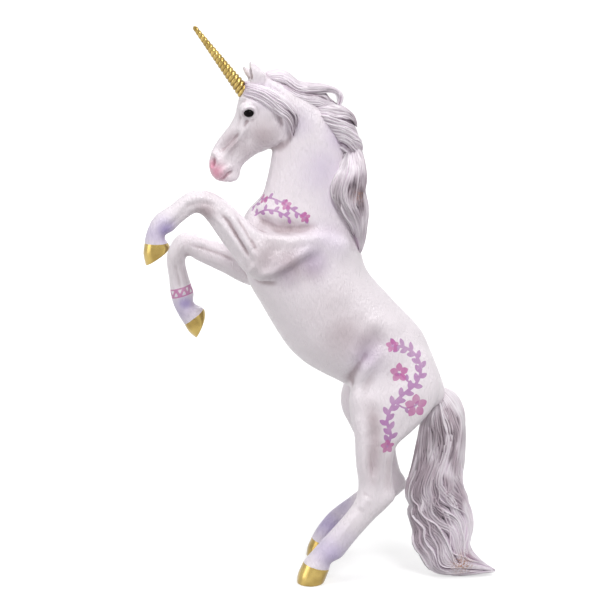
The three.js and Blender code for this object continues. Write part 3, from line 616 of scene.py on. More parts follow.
stems, blooms = [], []
collar_spots = smooth_line(COLLAR_PATHS[0], COLLAR_FLOWERS)
flowers = HAUNCH_FLOWERS + [(spot, COLLAR_FLOWER) for spot in collar_spots]
for side in SIDES.values():
    stems.append((laid_on(HAUNCH_STEM, side, HAUNCH_STEPS), STEM, False))
    stems += leaves_along(HAUNCH_STEM, HAUNCH_LEAVES, HAUNCH_LEAF, side)
    for path, count in zip(COLLAR_PATHS + HAUNCH_STALKS, FINE_LEAVES):
        stems += [(laid_on(path, side), FINE_STEM, False), *leaves_along(path, count, FINE_LEAF, side)]
    for spot, size in flowers:
        blooms += petals_round(np.array(spot), size, side)
paint["vine"] = painted(stems)
band = wave_band(BRACELET, BRACELET_TILT, BRACELET_SIZE, BRACELET_WAVES)
paint["bloom"] = np.maximum(painted(blooms), band)
print("brush strokes:", len(stems) + len(blooms))

# %% [markdown]
# ## Cutting the skin into mouldings
# Every face goes to the moulding whose solid it lies on. The cut line is then straightened, and each
# piece is closed with a fan of triangles, as a real moulding is closed at its seam. The pieces keep the
# normals of the whole skin, so that light runs over a seam without a break.

# %% straighten the seams
face_owner = np.sort(owner[quads], axis=1)[:, 1]


def seam_points():
    """Edges between two mouldings, as pairs of points."""
    edges = np.concatenate([quads[:, [k, (k + 1) % 4]] for k in range(4)])
    owners = np.tile(face_owner, 4)
    order = np.lexsort(np.sort(edges, axis=1).T)
    edges, owners = np.sort(edges, axis=1)[order], owners[order]
    same = (edges[:-1] == edges[1:]).all(1) & (owners[:-1] != owners[1:])
    return edges[:-1][same]


def straightened(points, edges, rounds=12):
    """Moves the points of the seams half way to the middle of their neighbours on the seam."""
    points = points.copy()
    held = np.unique(edges)
    for _ in range(rounds):
        total = np.zeros((len(points), 3))
        count = np.zeros(len(points))
        for a, b in (edges.T, edges.T[::-1]):
            np.add.at(total, a, points[b])
            np.add.at(count, a, 1)
        points[held] += 0.5 * (total[held] / count[held, None] - points[held])
    return points


seams = seam_points()
skin = straightened(skin, seams)
skin_normals = point_normals(skin)
print("edges on seams:", len(seams))

# %% build one closed piece of the skin
def boundary_loops(faces):
    """The open rims of a set of faces, each as a list of points."""
    edges = {(face[k], face[(k + 1) % 4]) for face in faces.tolist() for k in range(4)}
    following = {}
    for a, b in edges:
        if (b, a) not in edges:
            following.setdefault(a, []).append(b)
    loops = []
    while following:
        start = next(iter(following))
        loop = [start]
        while loop[-1] in following:
            ahead = following[loop[-1]]
            step = ahead.pop()
            if not ahead:
                del following[loop[-1]]
            if step == start:
                break
            loop.append(step)
        loops.append(loop)
    return loops


def new_object(name, points, faces, slot, *nodes):
    """A piece in millimetres becomes an object that stands for some CAD nodes."""
    mesh = bpy.data.meshes.new(name)
    mesh.from_pydata((np.asarray(points) * MM).tolist(), [], faces)
    mesh.polygons.foreach_set("use_smooth", [True] * len(mesh.polygons))
    piece = bpy.data.objects.new(name, mesh)
    bpy.context.scene.collection.objects.link(piece)
    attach(piece, "root")
    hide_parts(*nodes)
    return piece


def add_values(piece, name, values):
    """One number per point, which a paint can read."""
    layer = piece.data.attributes.new(name, "FLOAT", "POINT")
    layer.data.foreach_set("value", np.asarray(values, np.float32))


def skin_piece(node, slot):
    """The part of the skin that belongs to a node, closed at its seams."""
    faces = quads[face_owner == SKIN_NODES.index(node)]
    used = np.unique(faces)
    renumber = {old: new for new, old in enumerate(used.tolist())}
    points = list(skin[used])
    polygons = [[renumber[i] for i in face] for face in faces.tolist()]
    skin_corners = 4 * len(polygons)
    for loop in boundary_loops(faces):
        middle = len(points)
        points.append(skin[loop].mean(0))
        rim = [renumber[i] for i in loop]
        polygons += [[b, a, middle] for a, b in zip(rim, rim[1:] + rim[:1])]
    piece = new_object(f"{node}_piece", points, polygons, slot, node)
    normals = np.empty(len(piece.data.loops) * 3, np.float32)
    piece.data.polygons.foreach_set("use_smooth", [len(p) == 4 for p in polygons])
    piece.data.corner_normals.foreach_get("vector", normals)
    normals = normals.reshape(-1, 3)
    normals[:skin_corners] = skin_normals[faces.ravel()]
    piece.data.normals_split_custom_set(normals.tolist())
    for name, values in paint.items():
        add_values(piece, name, np.append(values[used], np.full(len(points) - len(used), values.min())))
    return piece


coat_pieces = [skin_piece(node, "pearl_coat") for node in SKIN_NODES if node not in HOOVES]
hoof_pieces = [skin_piece(node, "gold_lacquer") for node in HOOVES]
for piece in coat_pieces + hoof_pieces:
    print(piece.name, len(piece.data.polygons), "faces")

# %% [markdown]
# ## Eyes
# A bead of black gloss paint, a little longer than it is tall. It bulges between the lids, so it is built
# as rings that shrink towards the middle and stand a little further out than the socket.

# %% eyes
EYE_RINGS, EYE_AROUND = 12, 40
EYE_BULGE = 0.3


def loft_faces(rows, around):
    """Faces of a closed form: a pole, rows of points, a pole."""
    def at(row, k):
        return 1 + row * around + k % around

    last = 1 + rows * around
    faces = [[0, at(0, k), at(0, k + 1)] for k in range(around)]
    for row in range(rows - 1):
        faces += [[at(row, k), at(row + 1, k), at(row + 1, k + 1), at(row, k + 1)] for k in range(around)]
    return faces + [[last, at(rows - 1, k + 1), at(rows - 1, k)] for k in range(around)]


def eye_bead(side):
    """A bead in the socket of one side."""
    low, high = (np.array(corner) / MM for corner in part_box(f"{side}_eye"))
    half = (high - low) / 2
    front = np.array((0, SIDES[side], 0))
    middle = (low + high) / 2 + EYE_BULGE * front
    turn, angle = np.meshgrid(
        np.linspace(0, math.pi, EYE_RINGS + 2)[1:-1],
        np.linspace(0, 2 * math.pi, EYE_AROUND, endpoint=False), indexing="ij",
    )
    wide, high_up = np.sin(turn) * np.cos(angle), np.sin(turn) * np.sin(angle)
    rings = np.stack([wide, SIDES[side] * np.cos(turn), high_up], -1)
    points = middle + half * np.concatenate([[front], rings.reshape(-1, 3), [-front]])
    faces = loft_faces(EYE_RINGS, EYE_AROUND)
    if side == "left":
        faces = [face[::-1] for face in faces]
    return new_object(f"{side}_eye_bead", points, faces, "gloss_black", f"{side}_eye")


eye_pieces = [eye_bead(side) for side in SIDES]
print("eyes:", [piece.name for piece in eye_pieces])

# %% [markdown]
# ## The horn
# A slim cone with fine grooves wound round it, like a narwhal's tusk. A screw modifier could wind them,
# but a loft whose radius swells and shrinks along a spiral gives them soft flanks and a sharp bottom.

# %% horn
HORN_ROOT, HORN_TIP = np.array((-26.5, 0, 165.2)), np.array((-42.15, 0, 185.96))
HORN_BASE_RADIUS, HORN_TIP_RADIUS = 2.4, 0.75
HORN_SUNK = 2.6  # how far the rod starts inside the forehead
HORN_PITCH, HORN_STARTS = 1.42, 2  # from one groove to the next, and how many grooves run side by side
HORN_GROOVE, GROOVE_FADE = 0.36, 0.6  # depth at the root, and the share of it that is lost at the tip
GROOVE_SHARPNESS = 2.5
HORN_TIP_CAP = 0.35  # from the last row to the tip
HORN_ROWS, HORN_AROUND = 330, 48


def spiral_horn():
    length = np.linalg.norm(HORN_TIP - HORN_ROOT)
    ahead = (HORN_TIP - HORN_ROOT) / length
    side = np.array((0, 1, 0))
    front = np.cross(side, ahead)
    rise, angle = np.meshgrid(
        np.linspace(-HORN_SUNK, length - HORN_TIP_CAP, HORN_ROWS),
        np.linspace(0, 2 * math.pi, HORN_AROUND, endpoint=False), indexing="ij",
    )
    share = np.maximum(rise, 0) / length
    radius = HORN_BASE_RADIUS + (HORN_TIP_RADIUS - HORN_BASE_RADIUS) * share
    turn = (rise / HORN_PITCH - HORN_STARTS * angle / (2 * math.pi)) % 1
    groove = np.abs(2 * turn - 1) ** GROOVE_SHARPNESS
    reach = (radius - HORN_GROOVE * groove * (1 - GROOVE_FADE * share))[..., None]
    spokes = front * np.cos(angle)[..., None] + side * np.sin(angle)[..., None]
    rows = HORN_ROOT + ahead * rise[..., None] + reach * spokes
    points = np.concatenate([[HORN_ROOT - ahead * HORN_SUNK], rows.reshape(-1, 3), [HORN_TIP]])
    piece = new_object("horn_piece", points, loft_faces(HORN_ROWS, HORN_AROUND), "gold_lacquer", "horn")
    # the depth of the grooves, which the gold paint darkens as painted shade
    add_values(piece, "hollow", [0, *groove.ravel(), 0])
    return piece


horn_piece = spiral_horn()
print("horn:", len(horn_piece.data.polygons), "faces")

# %% [markdown]
# ## Hair
# Mane and tail are carved as overlapping locks, each with strands of its own. Particle hair would be far
# too fine. Each mass of hair is given by guides, lines in the side view that its hair follows from root
# to tip, with half its width and its place across the animal. A core fills the mass, and locks are combed
# over the core.

# %% guides of the tail and the forelock
DENSE, SIZE_ROWS = 400, 12  # points that measure a path, and rows of half widths and middles


def evenly(path, count=28):
    """A smooth path with its points at equal distances."""
    dense = smooth_line(path, np.linspace(0, 1, DENSE))
    run = np.cumsum([0, *np.linalg.norm(np.diff(dense, axis=0), axis=1)])
    places = np.linspace(0, run[-1], count)
    return np.column_stack([np.interp(places, run, column) for column in dense.T])


def form(guides, half, middle):
    """A mass of hair: guides from its leading to its trailing edge, half widths and middles along it."""
    spread = np.linspace(0, 1, SIZE_ROWS)
    across = [np.interp(spread, np.linspace(0, 1, len(row)), row) for row in (half, middle)]
    return [evenly(guide) for guide in guides], np.column_stack(across)


TAIL = form(
    [
        [(35.4, 59.4), (36.2, 56.4), (34.0, 50.0), (32.6, 42.8), (30.8, 35.3), (29.5, 31.6),
         (29.1, 27.0), (30.7, 23.9), (29.6, 20.2), (31.6, 16.2), (30.7, 11.2), (33.6, 6.6),
         (36.0, 2.4), (42.2, 0.3), (50.2, 0.1), (57.8, 0.3)],
        [(39.6, 65.0), (42.6, 62.8), (45.4, 59.6), (47.1, 54.6), (47.4, 48.4), (46.9, 40.9),
         (46.6, 34.0), (47.6, 28.2), (49.6, 22.4), (50.3, 17.4), (49.2, 12.8), (50.2, 9.6),
         (53.8, 5.4), (59.0, 2.2)],
    ],
    (2.9, 4.2, 5.2, 5.5, 5.5, 5.6, 5.7, 5.7, 5.6, 5.2, 4.5, 3.5, 1.9),
    (0.0, -0.8, -2.0, -3.2, -4.4, -5.4, -6.4, -7.4, -8.4, -9.4, -9.9, -10.0, -10.0),
)
FORELOCK = form(
    [
        [(-25.6, 168.6), (-20.6, 166.9), (-15.8, 164.9), (-12.8, 163.2), (-10.3, 160.8),
         (-8.6, 158.4), (-8.0, 155.4)],
        [(-25.8, 167.0), (-21.3, 165.8), (-17.3, 164.3), (-14.1, 162.2), (-11.6, 159.4),
         (-10.0, 156.6), (-9.4, 153.6)],
        [(-26.2, 165.2), (-22.1, 164.3), (-19.3, 162.9), (-16.1, 160.9), (-12.8, 158.0),
         (-10.9, 154.8), (-10.3, 151.0)],
        [(-26.8, 163.4), (-23.0, 162.6), (-20.8, 161.8), (-17.8, 160.0), (-14.5, 157.8),
         (-12.1, 154.9), (-10.9, 150.0)],
    ],
    (3.2, 2.9, 2.4, 2.0, 1.7, 1.4, 0.7), (-1.4, -3.8, -5.2, -6.1, -6.8, -7.2, -7.0),
)
print("guides of the tail:", len(TAIL[0]), "of the forelock:", len(FORELOCK[0]))

# %% guides of the mane
MANE_UPPER = form(
    [
        [(-19.6, 171.0), (-16.0, 171.2), (-12.6, 170.6), (-8.4, 167.6), (-4.3, 166.9), (-0.6, 166.7),
         (2.9, 166.0), (5.5, 164.8), (6.7, 162.8), (6.4, 160.6), (5.6, 158.4)],
        [(-17.6, 168.2), (-15.0, 167.4), (-12.4, 166.4), (-8.6, 164.8), (-4.4, 164.3), (-0.7, 164.3),
         (1.6, 164.6), (3.5, 164.0), (4.3, 162.6), (4.2, 160.8), (3.6, 159.0)],
    ],
    (3.0, 3.8, 4.2, 4.2, 3.8, 3.0, 2.3, 2.0, 1.9, 1.8), (0.0, 0.0),
)
MANE_LOWER = form(
    [
        [(-17.2, 169.6), (-12.5, 167.0), (-8.5, 165.6), (-4.5, 164.9), (-1.2, 164.5), (0.9, 164.0),
         (1.9, 162.9), (3.4, 161.8), (5.4, 160.8)],
        [(-15.7, 166.4), (-12.6, 164.4), (-8.6, 161.7), (-4.8, 159.2), (-1.3, 158.0), (1.2, 157.6),
         (3.2, 157.8), (4.8, 158.4), (6.2, 159.4)],
    ],
    (3.2, 4.2, 4.6, 4.6, 4.3, 3.6, 2.8, 2.2, 1.4), (0.0, 0.0),
)
MANE_CREST = form(
    [
        [(-4.4, 161.0), (-1.9, 161.0), (1.1, 160.7), (4.9, 159.9), (7.4, 158.9), (9.9, 157.0),
         (11.5, 154.2)],
        [(-3.0, 159.0), (-0.6, 159.0), (2.4, 158.8), (5.1, 158.4), (7.9, 157.4), (9.9, 155.6),
         (11.6, 153.0)],
        [(-1.8, 156.9), (0.6, 156.4), (3.4, 155.6), (5.9, 154.9), (8.1, 153.8), (10.4, 152.4),
         (12.2, 150.4)],
        [(0.0, 154.4), (2.4, 154.2), (4.9, 153.7), (7.4, 152.6), (9.7, 151.2), (11.6, 149.9),
         (13.3, 147.6)],
        [(1.6, 151.9), (3.9, 151.7), (6.2, 151.3), (8.4, 150.5), (10.7, 149.0), (12.6, 146.8),
         (13.7, 143.6)],
        [(3.4, 149.2), (5.2, 148.8), (6.9, 148.2), (8.7, 147.0), (10.4, 145.4), (12.2, 143.2),
         (13.5, 140.2)],
        [(3.4, 143.4), (5.0, 143.6), (6.6, 143.4), (8.4, 142.6), (10.2, 141.2), (11.8, 139.6),
         (13.2, 137.6)],
    ],
    (4.0, 4.5, 4.6, 4.3, 3.6, 2.6, 1.4), (0.0, 0.0),
)
MANE_FALL = form(
    [
        [(6.6, 145.4), (5.2, 141.6), (2.9, 138.7), (0.7, 135.9), (-0.2, 133.3), (0.3, 130.8),
         (2.1, 127.9), (4.5, 124.6), (6.6, 121.4), (8.0, 118.0), (9.0, 115.0), (10.4, 111.2)],
        [(7.6, 145.6), (6.9, 140.8), (4.9, 137.3), (3.7, 134.9), (3.2, 132.5), (3.7, 130.0),
         (5.4, 126.8), (7.4, 124.1), (9.1, 121.4), (9.7, 118.5), (10.2, 115.3), (11.0, 110.8)],
        [(8.6, 145.8), (8.6, 139.8), (7.3, 136.1), (6.4, 133.9), (5.9, 131.5), (6.4, 128.8),
         (8.1, 125.8), (9.8, 123.1), (10.7, 120.7), (11.2, 118.2), (11.4, 115.5), (11.6, 110.6)],
        [(9.6, 146.0), (10.2, 139.0), (9.2, 135.1), (8.3, 132.9), (7.8, 130.7), (8.6, 128.0),
         (10.3, 125.3), (11.4, 122.9), (11.9, 120.4), (12.2, 117.9), (12.3, 115.0), (12.2, 110.6)],
        [(10.6, 146.6), (12.0, 139.6), (11.7, 135.3), (11.3, 132.9), (11.2, 130.4), (11.8, 127.7),
         (12.5, 125.3), (12.9, 122.6), (13.1, 120.1), (13.1, 117.7), (12.9, 114.7), (12.6, 110.6)],
        [(11.6, 148.0), (12.9, 141.4), (13.3, 137.7), (13.3, 135.3), (12.9, 132.6), (13.5, 129.9),
         (14.0, 127.5), (14.2, 124.8), (14.2, 122.3), (14.0, 119.6), (13.8, 116.0), (13.0, 110.8)],
    ],
    (2.4, 4.4, 5.6, 6.3, 6.6, 6.7, 6.6, 6.0, 5.2, 4.0, 2.8, 1.4), (-1.2, -2.6, -2.8, -2.8, -2.8),
)
print("guides of the mane:", [len(mass[0]) for mass in (MANE_UPPER, MANE_LOWER, MANE_CREST, MANE_FALL)])

# %% a surface through the guides
def on_form(mass, around, along):
    """Points on a mass of hair: around is an angle from its leading edge, along a share of its length."""
    guides, sizes = mass
    lines = np.stack([smooth_line(guide, along) for guide in guides], axis=-2)
    x, z = np.moveaxis(smooth_line(lines, (1 - np.cos(around)) / 2), -1, 0)
    half, middle = np.moveaxis(smooth_line(sizes, along), -1, 0)
    return np.stack([x, middle + half * np.sin(around), z], axis=-1)


def form_normals(mass, around, along):
    """Directions out of the mass, by comparing with points close by."""
    small = 2e-3
    along = np.clip(along, small, 1 - small)
    du = on_form(mass, around + small, along) - on_form(mass, around - small, along)
    dv = on_form(mass, around, along + small) - on_form(mass, around, along - small)
    out = np.cross(du, dv)
    out /= np.maximum(np.linalg.norm(out, axis=-1, keepdims=True), 1e-9)
    from_middle = on_form(mass, around, along) - on_form(mass, -around, along)
    from_middle += on_form(mass, around, along) - on_form(mass, around + math.pi, along)
    return out * np.sign((out * from_middle).sum(-1, keepdims=True))


# %% [markdown]
# A lock is a flat tube. Its width opens quickly and tapers to a point, its top is fluted into strands,
# and its underside is sunk in what lies below. Every lock sways with its neighbours, and a little by
# itself. Each point also keeps how high it lies on a strand, which the paint turns into painted light on
# the tops and painted shade on the sides and underside, how much wash and lilac it takes, and its place
# along the hair.

# %% the core and the locks
HAIR_SHADE_SPOTS = [  # painted shade, and the thickest wash: in the hollow of the mane's fall and under the tail's root
    (9.0, -9.0, 135.4, 3.4, 0.9), (10.4, -8.6, 132.0, 3.6, 1.0), (11.4, -8.0, 128.4, 3.4, 0.9),
    (41.0, -8.0, 49.0, 4.0, 0.6), (41.0, -9.0, 43.0, 4.0, 0.6),
]
LOCK_STEPS, LOCK_TOP, LOCK_BELOW = 40, 17, 7
LOCK_TURNS = np.concatenate([
    np.linspace(0, math.pi, LOCK_TOP), np.linspace(math.pi, 2 * math.pi, LOCK_BELOW + 2)[1:-1],
])
CORE_ROWS, CORE_AROUND = 60, 48
SUNK = 0.6  # of a lock's height lies inside the outline
CORE_ENDS, CORE_DEEPER = (0.01, 0.98), 0.4  # where the core begins and ends, and how much deeper it lies
TWIST_START, TWIST_EASE = 0.35, 1.5  # where along a mass its locks begin to wind round it, and how gently
ROOT_SWING = 0.4  # the share of its swing that a lock has at its root
RIPPLE, RIPPLE_RATE, RIPPLE_SHIFT = 0.25, 2.3, 6  # a smaller and quicker wave on the sway
BODY, FLUTE, UNDERSIDE = 0.95, 0.4, 0.9  # shares of a lock's height
FLICK_EASE = 5  # the larger, the closer to the tip a lock turns out
SHADE_DARKENING = 0.7  # of a ridge's light is lost to painted shade in those spots
GRAIN_LENGTH = 60  # a mass counts as this long in the pattern of fine strands
STRIP, CORE_FACES = loft_faces(LOCK_STEPS, len(LOCK_TURNS)), loft_faces(CORE_ROWS, CORE_AROUND)


def closed(rows):
    """Rows of points with a pole at either end."""
    return np.concatenate([[rows[0].mean(0)], rows.reshape(-1, rows.shape[-1]), [rows[-1].mean(0)]])


def core(mass, style):
    """The closed form under the locks, all of it in the groove colour: painted shade between the locks."""
    along, around = np.meshgrid(
        np.linspace(*CORE_ENDS, CORE_ROWS),
        np.linspace(0, 2 * math.pi, CORE_AROUND, endpoint=False), indexing="ij",
    )
    depth = SUNK * style["height"] + CORE_DEEPER
    points = on_form(mass, around, along) - depth * form_normals(mass, around, along)
    tints = [0 * along, np.interp(along, *style["wash"]), np.interp(along, *style["lilac"])]
    return closed(points), CORE_FACES, closed(np.stack([*tints, around, along, 0 * along], -1))


def lock_width(s):
    """A lock's width along it, as a share: it opens quickly and tapers to a point."""
    return np.minimum(1, (s + 0.02) / 0.14) ** 0.6 * np.clip(1.02 - s ** 3, 0, 1) ** 0.7


def lock(mass, style, around, span, width, height, strands, phase, washed_more):
    """A lock that runs along a form at an angle round it, from one share of its length to another."""
    swing, waves, _ = style["sway"]
    s = np.linspace(0, 1, LOCK_STEPS)
    along = span[0] + (span[1] - span[0]) * s
    wave = 2 * math.pi * (waves * along + phase)
    twist = np.clip((along - TWIST_START) / (1 - TWIST_START), 0, 1) ** TWIST_EASE * style["twist"]
    ripple = RIPPLE * np.sin(RIPPLE_RATE * wave + RIPPLE_SHIFT * phase)
    u = around + swing * (ROOT_SWING + along) * (np.sin(wave) + ripple) - twist
    middle, out = on_form(mass, u, along), form_normals(mass, u, along)
    ahead = np.gradient(middle, axis=0)
    ahead /= np.maximum(np.linalg.norm(ahead, axis=1, keepdims=True), 1e-9)
    across = np.cross(out, ahead)
    swell = lock_width(s)
    flat, rise = np.cos(LOCK_TURNS), np.sin(LOCK_TURNS)
    strand = np.cos(strands * math.pi * flat)
    lift = np.where(rise > 0, rise * (BODY + FLUTE * strand), UNDERSIDE * rise) * height
    tip = style["flick"] * s ** FLICK_EASE - SUNK * height
    points = (
        middle[:, None] + across[:, None] * (swell[:, None] * flat * width)[..., None]
        + out[:, None] * (swell[:, None] * lift + tip[:, None])[..., None]
    )
    dark = np.clip(washed_more * mist(HAIR_SHADE_SPOTS, points.reshape(-1, 3)).reshape(points.shape[:2]), 0, 1)
    # painted light and shade: a lock's top and its strands' crests are lighter, its sides and underside
    # darker
    ridge = np.clip(rise, 0, 1) ** 0.5 * (0.6 + 0.4 * strand) * (1 - SHADE_DARKENING * dark)
    wash = np.clip(np.interp(along, *style["wash"]) * washed_more, 0, 1)[:, None]
    lilac = np.interp(along, *style["lilac"])[:, None]
    values = np.broadcast_arrays(
        ridge, np.maximum(wash, dark), lilac, flat * width, GRAIN_LENGTH * along[:, None], around,
    )
    return closed(points), STRIP, closed(np.stack(values, -1))


# %% comb the hair
LAYERS = [  # how long, how wide and how many strands: two full layers, then loose strands on top
    ((0.82, 1.0), (0.9, 1.3), (3, 5)), ((0.6, 1.0), (0.6, 1.0), (2, 4)), ((0.3, 0.6), (0.25, 0.5), (1, 2)),
]
LATEST_START, LATEST_LOOSE_START = 0.04, 0.5  # shares of a mass's length
ASIDE, OUT_OF_STEP = 0.3, 0.16  # how far a lock may leave its place, and its sway that of the others
HEIGHTS, WASHES = (0.6, 1.4), (0.15, 1.75)  # factors on the style's height and wash
RUST_SPOTS = [(46.5, -14.5, 5.5, 3.2, 1.0), (10.9, -9.0, 131.4, 2.2, 0.5)]  # by the tail's tip, in the mane


def combed(name, node, *masses):
    """One piece of hair from masses of (form, style)."""
    shells = []
    for mass, style in masses:
        shells.append(core(mass, style))
        for k in range(style["locks"]):
            layer = LAYERS[k % len(LAYERS)]
            lengths, widths, strands = layer
            begin = chance.uniform(0, LATEST_LOOSE_START if layer is LAYERS[-1] else LATEST_START)
            span = (begin, min(1.0, begin + chance.uniform(*lengths)))
            around = 2 * math.pi * (k + chance.uniform(-ASIDE, ASIDE)) / style["locks"]
            width = style["width"] * chance.uniform(*widths)
            height = style["height"] * chance.uniform(*HEIGHTS)
            count = int(chance.integers(*strands))
            phase = style["sway"][2] + chance.uniform(-OUT_OF_STEP, OUT_OF_STEP)
            washed_more = chance.uniform(*WASHES)
            shells.append(lock(mass, style, around, span, width, height, count, phase, washed_more))
    starts = np.cumsum([0, *[len(points) for points, _, _ in shells]])
    faces = [[start + i for i in face] for start, shell in zip(starts, shells) for face in shell[1]]
    points = np.concatenate([shell[0] for shell in shells])
    points[:, 2] = np.maximum(points[:, 2], 0)
    piece = new_object(name, points, faces, "washed_hair", node)
    values = np.concatenate([shell[2] for shell in shells])
    for column, key in enumerate(("ridge", "wash", "lilac")):
        add_values(piece, key, values[:, column])
    add_values(piece, "rust", mist(RUST_SPOTS, points))
    grain = piece.data.attributes.new("grain", "FLOAT_VECTOR", "POINT")
    grain.data.foreach_set("vector", values[:, 3:].astype(np.float32).ravel())
    return piece


def style(locks, width, height, sway, wash, lilac, twist=0.0, flick=0.0):
    """How a mass is combed: sway is (swing, waves, phase), wash and lilac are amounts from root to tip."""
    wash, lilac = ((np.linspace(0, 1, len(row)), row) for row in (wash, lilac))
    return dict(
        locks=locks, width=width, height=height, sway=sway, wash=wash, lilac=lilac, twist=twist, flick=flick,
    )


hair_pieces = [
    combed("tail_locks", "tail", (TAIL, style(
        63, 1.9, 1.45, (0.2, 2.7, 0.1), (0.3, 0.7, 1.0, 0.9, 0.4, 0.05, 0.0),
        (0.0, 0.0, 0.15, 0.35, 0.5, 0.6, 0.5), twist=1.2, flick=0.1,
    ))),
    combed(
        "mane_top_locks", "mane_top_lock",
        (MANE_UPPER, style(27, 1.05, 0.9, (0.2, 1.7, 0.0), (0.0, 0.2, 0.3, 0.4), (0.5, 0.4, 0.2))),
        (MANE_LOWER, style(30, 1.05, 0.9, (0.16, 1.7, 0.3), (0.2, 0.4, 0.4, 0.4), (0.4, 0.3, 0.2))),
    ),
    combed("mane_crest_locks", "mane_crest_lock", (MANE_CREST, style(
        42, 1.5, 1.25, (0.06, 1.3, 0.2), (0.1, 0.2, 0.4, 0.6), (0.4, 0.2, 0.0), flick=0.15,
    ))),
    combed("mane_fall_locks", "mane_fall_lock", (MANE_FALL, style(
        42, 1.5, 1.35, (0.09, 1.7, 0.0), (0.1, 0.4, 0.5, 0.4, 0.1), (0.2, 0.1, 0.2), flick=0.2,
    ))),
    combed("forelock_locks", "forelock", (FORELOCK, style(
        21, 1.2, 0.85, (0.14, 1.5, 0.0), (0.2, 0.4, 0.5, 0.3), (0.9, 0.6, 0.2, 0.0),
    ))),
]
for piece in hair_pieces:
    print(piece.name, len(piece.data.polygons), "faces")

# %% [markdown]
# ## Paints
# Colours are written as they look on a screen, as hex, and turned to the linear numbers that a shader
# needs. One function adds a node with its settings and its links. A few short ones add the nodes that are
# used most.

# %% colours and nodes
NOISE_SPAN = (0.3, 0.7)  # nearly all values of a noise lie in this range
WHITE = (1, 1, 1, 1)


def colour(code):
    """A hex code as a linear colour."""
    shares = [int(code[i:i + 2], 16) / 255 for i in (1, 3, 5)]
    return (*[s / 12.92 if s <= 0.04045 else ((s + 0.055) / 1.055) ** 2.4 for s in shares], 1.0)


def connect(tree, node, inputs):
    """Fills a node's inputs: a socket is linked, anything else is a value."""
    for name, value in inputs.items():
        if isinstance(value, bpy.types.NodeSocket):
            tree.links.new(value, node.inputs[name])
        else:
            node.inputs[name].default_value = value


def add_node(tree, kind, inputs, **settings):
    node = tree.nodes.new("ShaderNode" + kind)
    for name, value in settings.items():
        setattr(node, name, value)
    connect(tree, node, inputs)
    return node


def object_place(tree):
    return add_node(tree, "TexCoord", {}).outputs["Object"]


def stored(tree, name, output="Fac"):
    """A value that the points of a piece carry."""
    return add_node(tree, "Attribute", {}, attribute_name=name).outputs[output]


def noise(tree, place, scale, detail):
    return add_node(tree, "TexNoise", {"Vector": place, "Scale": scale, "Detail": detail}).outputs["Fac"]


def stretched(tree, place, **settings):
    """A place with each axis scaled, and perhaps turned, so that noise on it gets a grain."""
    return add_node(tree, "Mapping", {"Vector": place, **settings}).outputs[0]


def ranged(tree, value, low, high, to_low=0.0, to_high=1.0):
    """A value from one range in another."""
    return add_node(tree, "MapRange", {0: value, 1: low, 2: high, 3: to_low, 4: to_high}).outputs[0]


def combine(tree, operation, first, second, clamp=False):
    return add_node(tree, "Math", {0: first, 1: second}, operation=operation, use_clamp=clamp).outputs[0]


def mixed(tree, amount, under, over):
    """A colour with some of another one over it."""
    return add_node(tree, "Mix", {0: amount, 6: under, 7: over}, data_type="RGBA").outputs[2]


def raised(tree, height, strength, depth):
    return add_node(tree, "Bump", {"Height": height, "Strength": strength, "Distance": depth}).outputs[0]


def new_paint(name):
    """An empty material: the material, its node tree and its main shader."""
    material = bpy.data.materials.new(name)
    material.use_nodes = True
    return material, material.node_tree, material.node_tree.nodes["Principled BSDF"]


def coat_with(pieces, material):
    for piece in pieces:
        piece.data.materials.append(material)


# %% [markdown]
# Pearl lacquer over white PVC: a satin white with a soft sheen. It gives the eye broad pale highlights,
# and fine strokes of combed coat break them up, about 0.5 mm apart and 2.2 mm long. The airbrushed mists,
# the painted shade and the vine lie on the pearl, one layer after the other.

# %% pearl lacquer on PVC
PEARL = "#F6EDF3"
# shade is painted shade; lilac, violet and rose are the figure's own airbrushed colours
MISTS_AND_SHADE = [
    ("shade", "#9C8188", 0.78), ("lilac", "#CDBADF", 0.8),
    ("violet", "#937CC8", 0.95), ("rose", "#E6739C", 0.95),
]
BRUSHED = [("vine", "#AE66AF", 0.92), ("bloom", "#C766A8", 0.95)]
STROKE_WIDTH, STROKE_LENGTH, STROKE_LEAN = 0.5 * MM, 2.2 * MM, math.radians(25)
STROKE_DEPTH = 0.45 * MM
CLOUD, THIN = 7 * MM, 0.75  # size of the uneven patches in a layer, and its strength where it is thin
EDGE = 0.07  # half the softness of a brush stroke's edge, in millimetres

pearl_pvc, tree, shader = new_paint("pearl_lacquered_pvc")
place = object_place(tree)
cloud = noise(tree, place, 1 / CLOUD, 2.0)
tint = colour(PEARL)
for layer, code, most in MISTS_AND_SHADE + BRUSHED:
    amount = stored(tree, layer)
    if (layer, code, most) in BRUSHED:
        amount = ranged(tree, amount, -EDGE, EDGE)
    uneven = ranged(tree, cloud, *NOISE_SPAN, most * THIN, most)
    tint = mixed(tree, combine(tree, "MULTIPLY", amount, uneven), tint, colour(code))
combed_place = stretched(
    tree, place, Rotation=(0, STROKE_LEAN, 0),
    Scale=(1 / STROKE_WIDTH, 1 / STROKE_WIDTH, 1 / STROKE_LENGTH),
)
bump = raised(tree, noise(tree, combed_place, 1.0, 2.0), 1.0, STROKE_DEPTH)
connect(tree, shader, {
    "Base Color": tint, "Normal": bump, "Coat Normal": bump,
    "Roughness": 0.3, "Coat Weight": 0.2, "Coat Roughness": 0.12, "Sheen Weight": 0.1,
})
coat_with(coat_pieces, pearl_pvc)
print("pearl lacquer on", len(coat_pieces), "pieces")

# %% [markdown]
# Gold lacquer: metal flakes in varnish, brushed on. It gives the eye a warm, soft reflection of the room,
# with slow changes of tone where the varnish is thicker. The grooves of the horn are darker by painted
# shade.
# The varnish itself is a clear coat with a sharper, colourless shine.

# %% gold lacquer
GOLD, GOLD_THICK, GOLD_GROOVE_SHADE = "#BFA55E", "#9A8142", "#7A5F28"
VARNISH, THICKER = 5 * MM, (0.35, 0.65)  # size of the patches of thicker varnish, and how softly they begin
FLAKES, FLAKE_ROUGHNESS = 0.25 * MM, (0.2, 0.28)

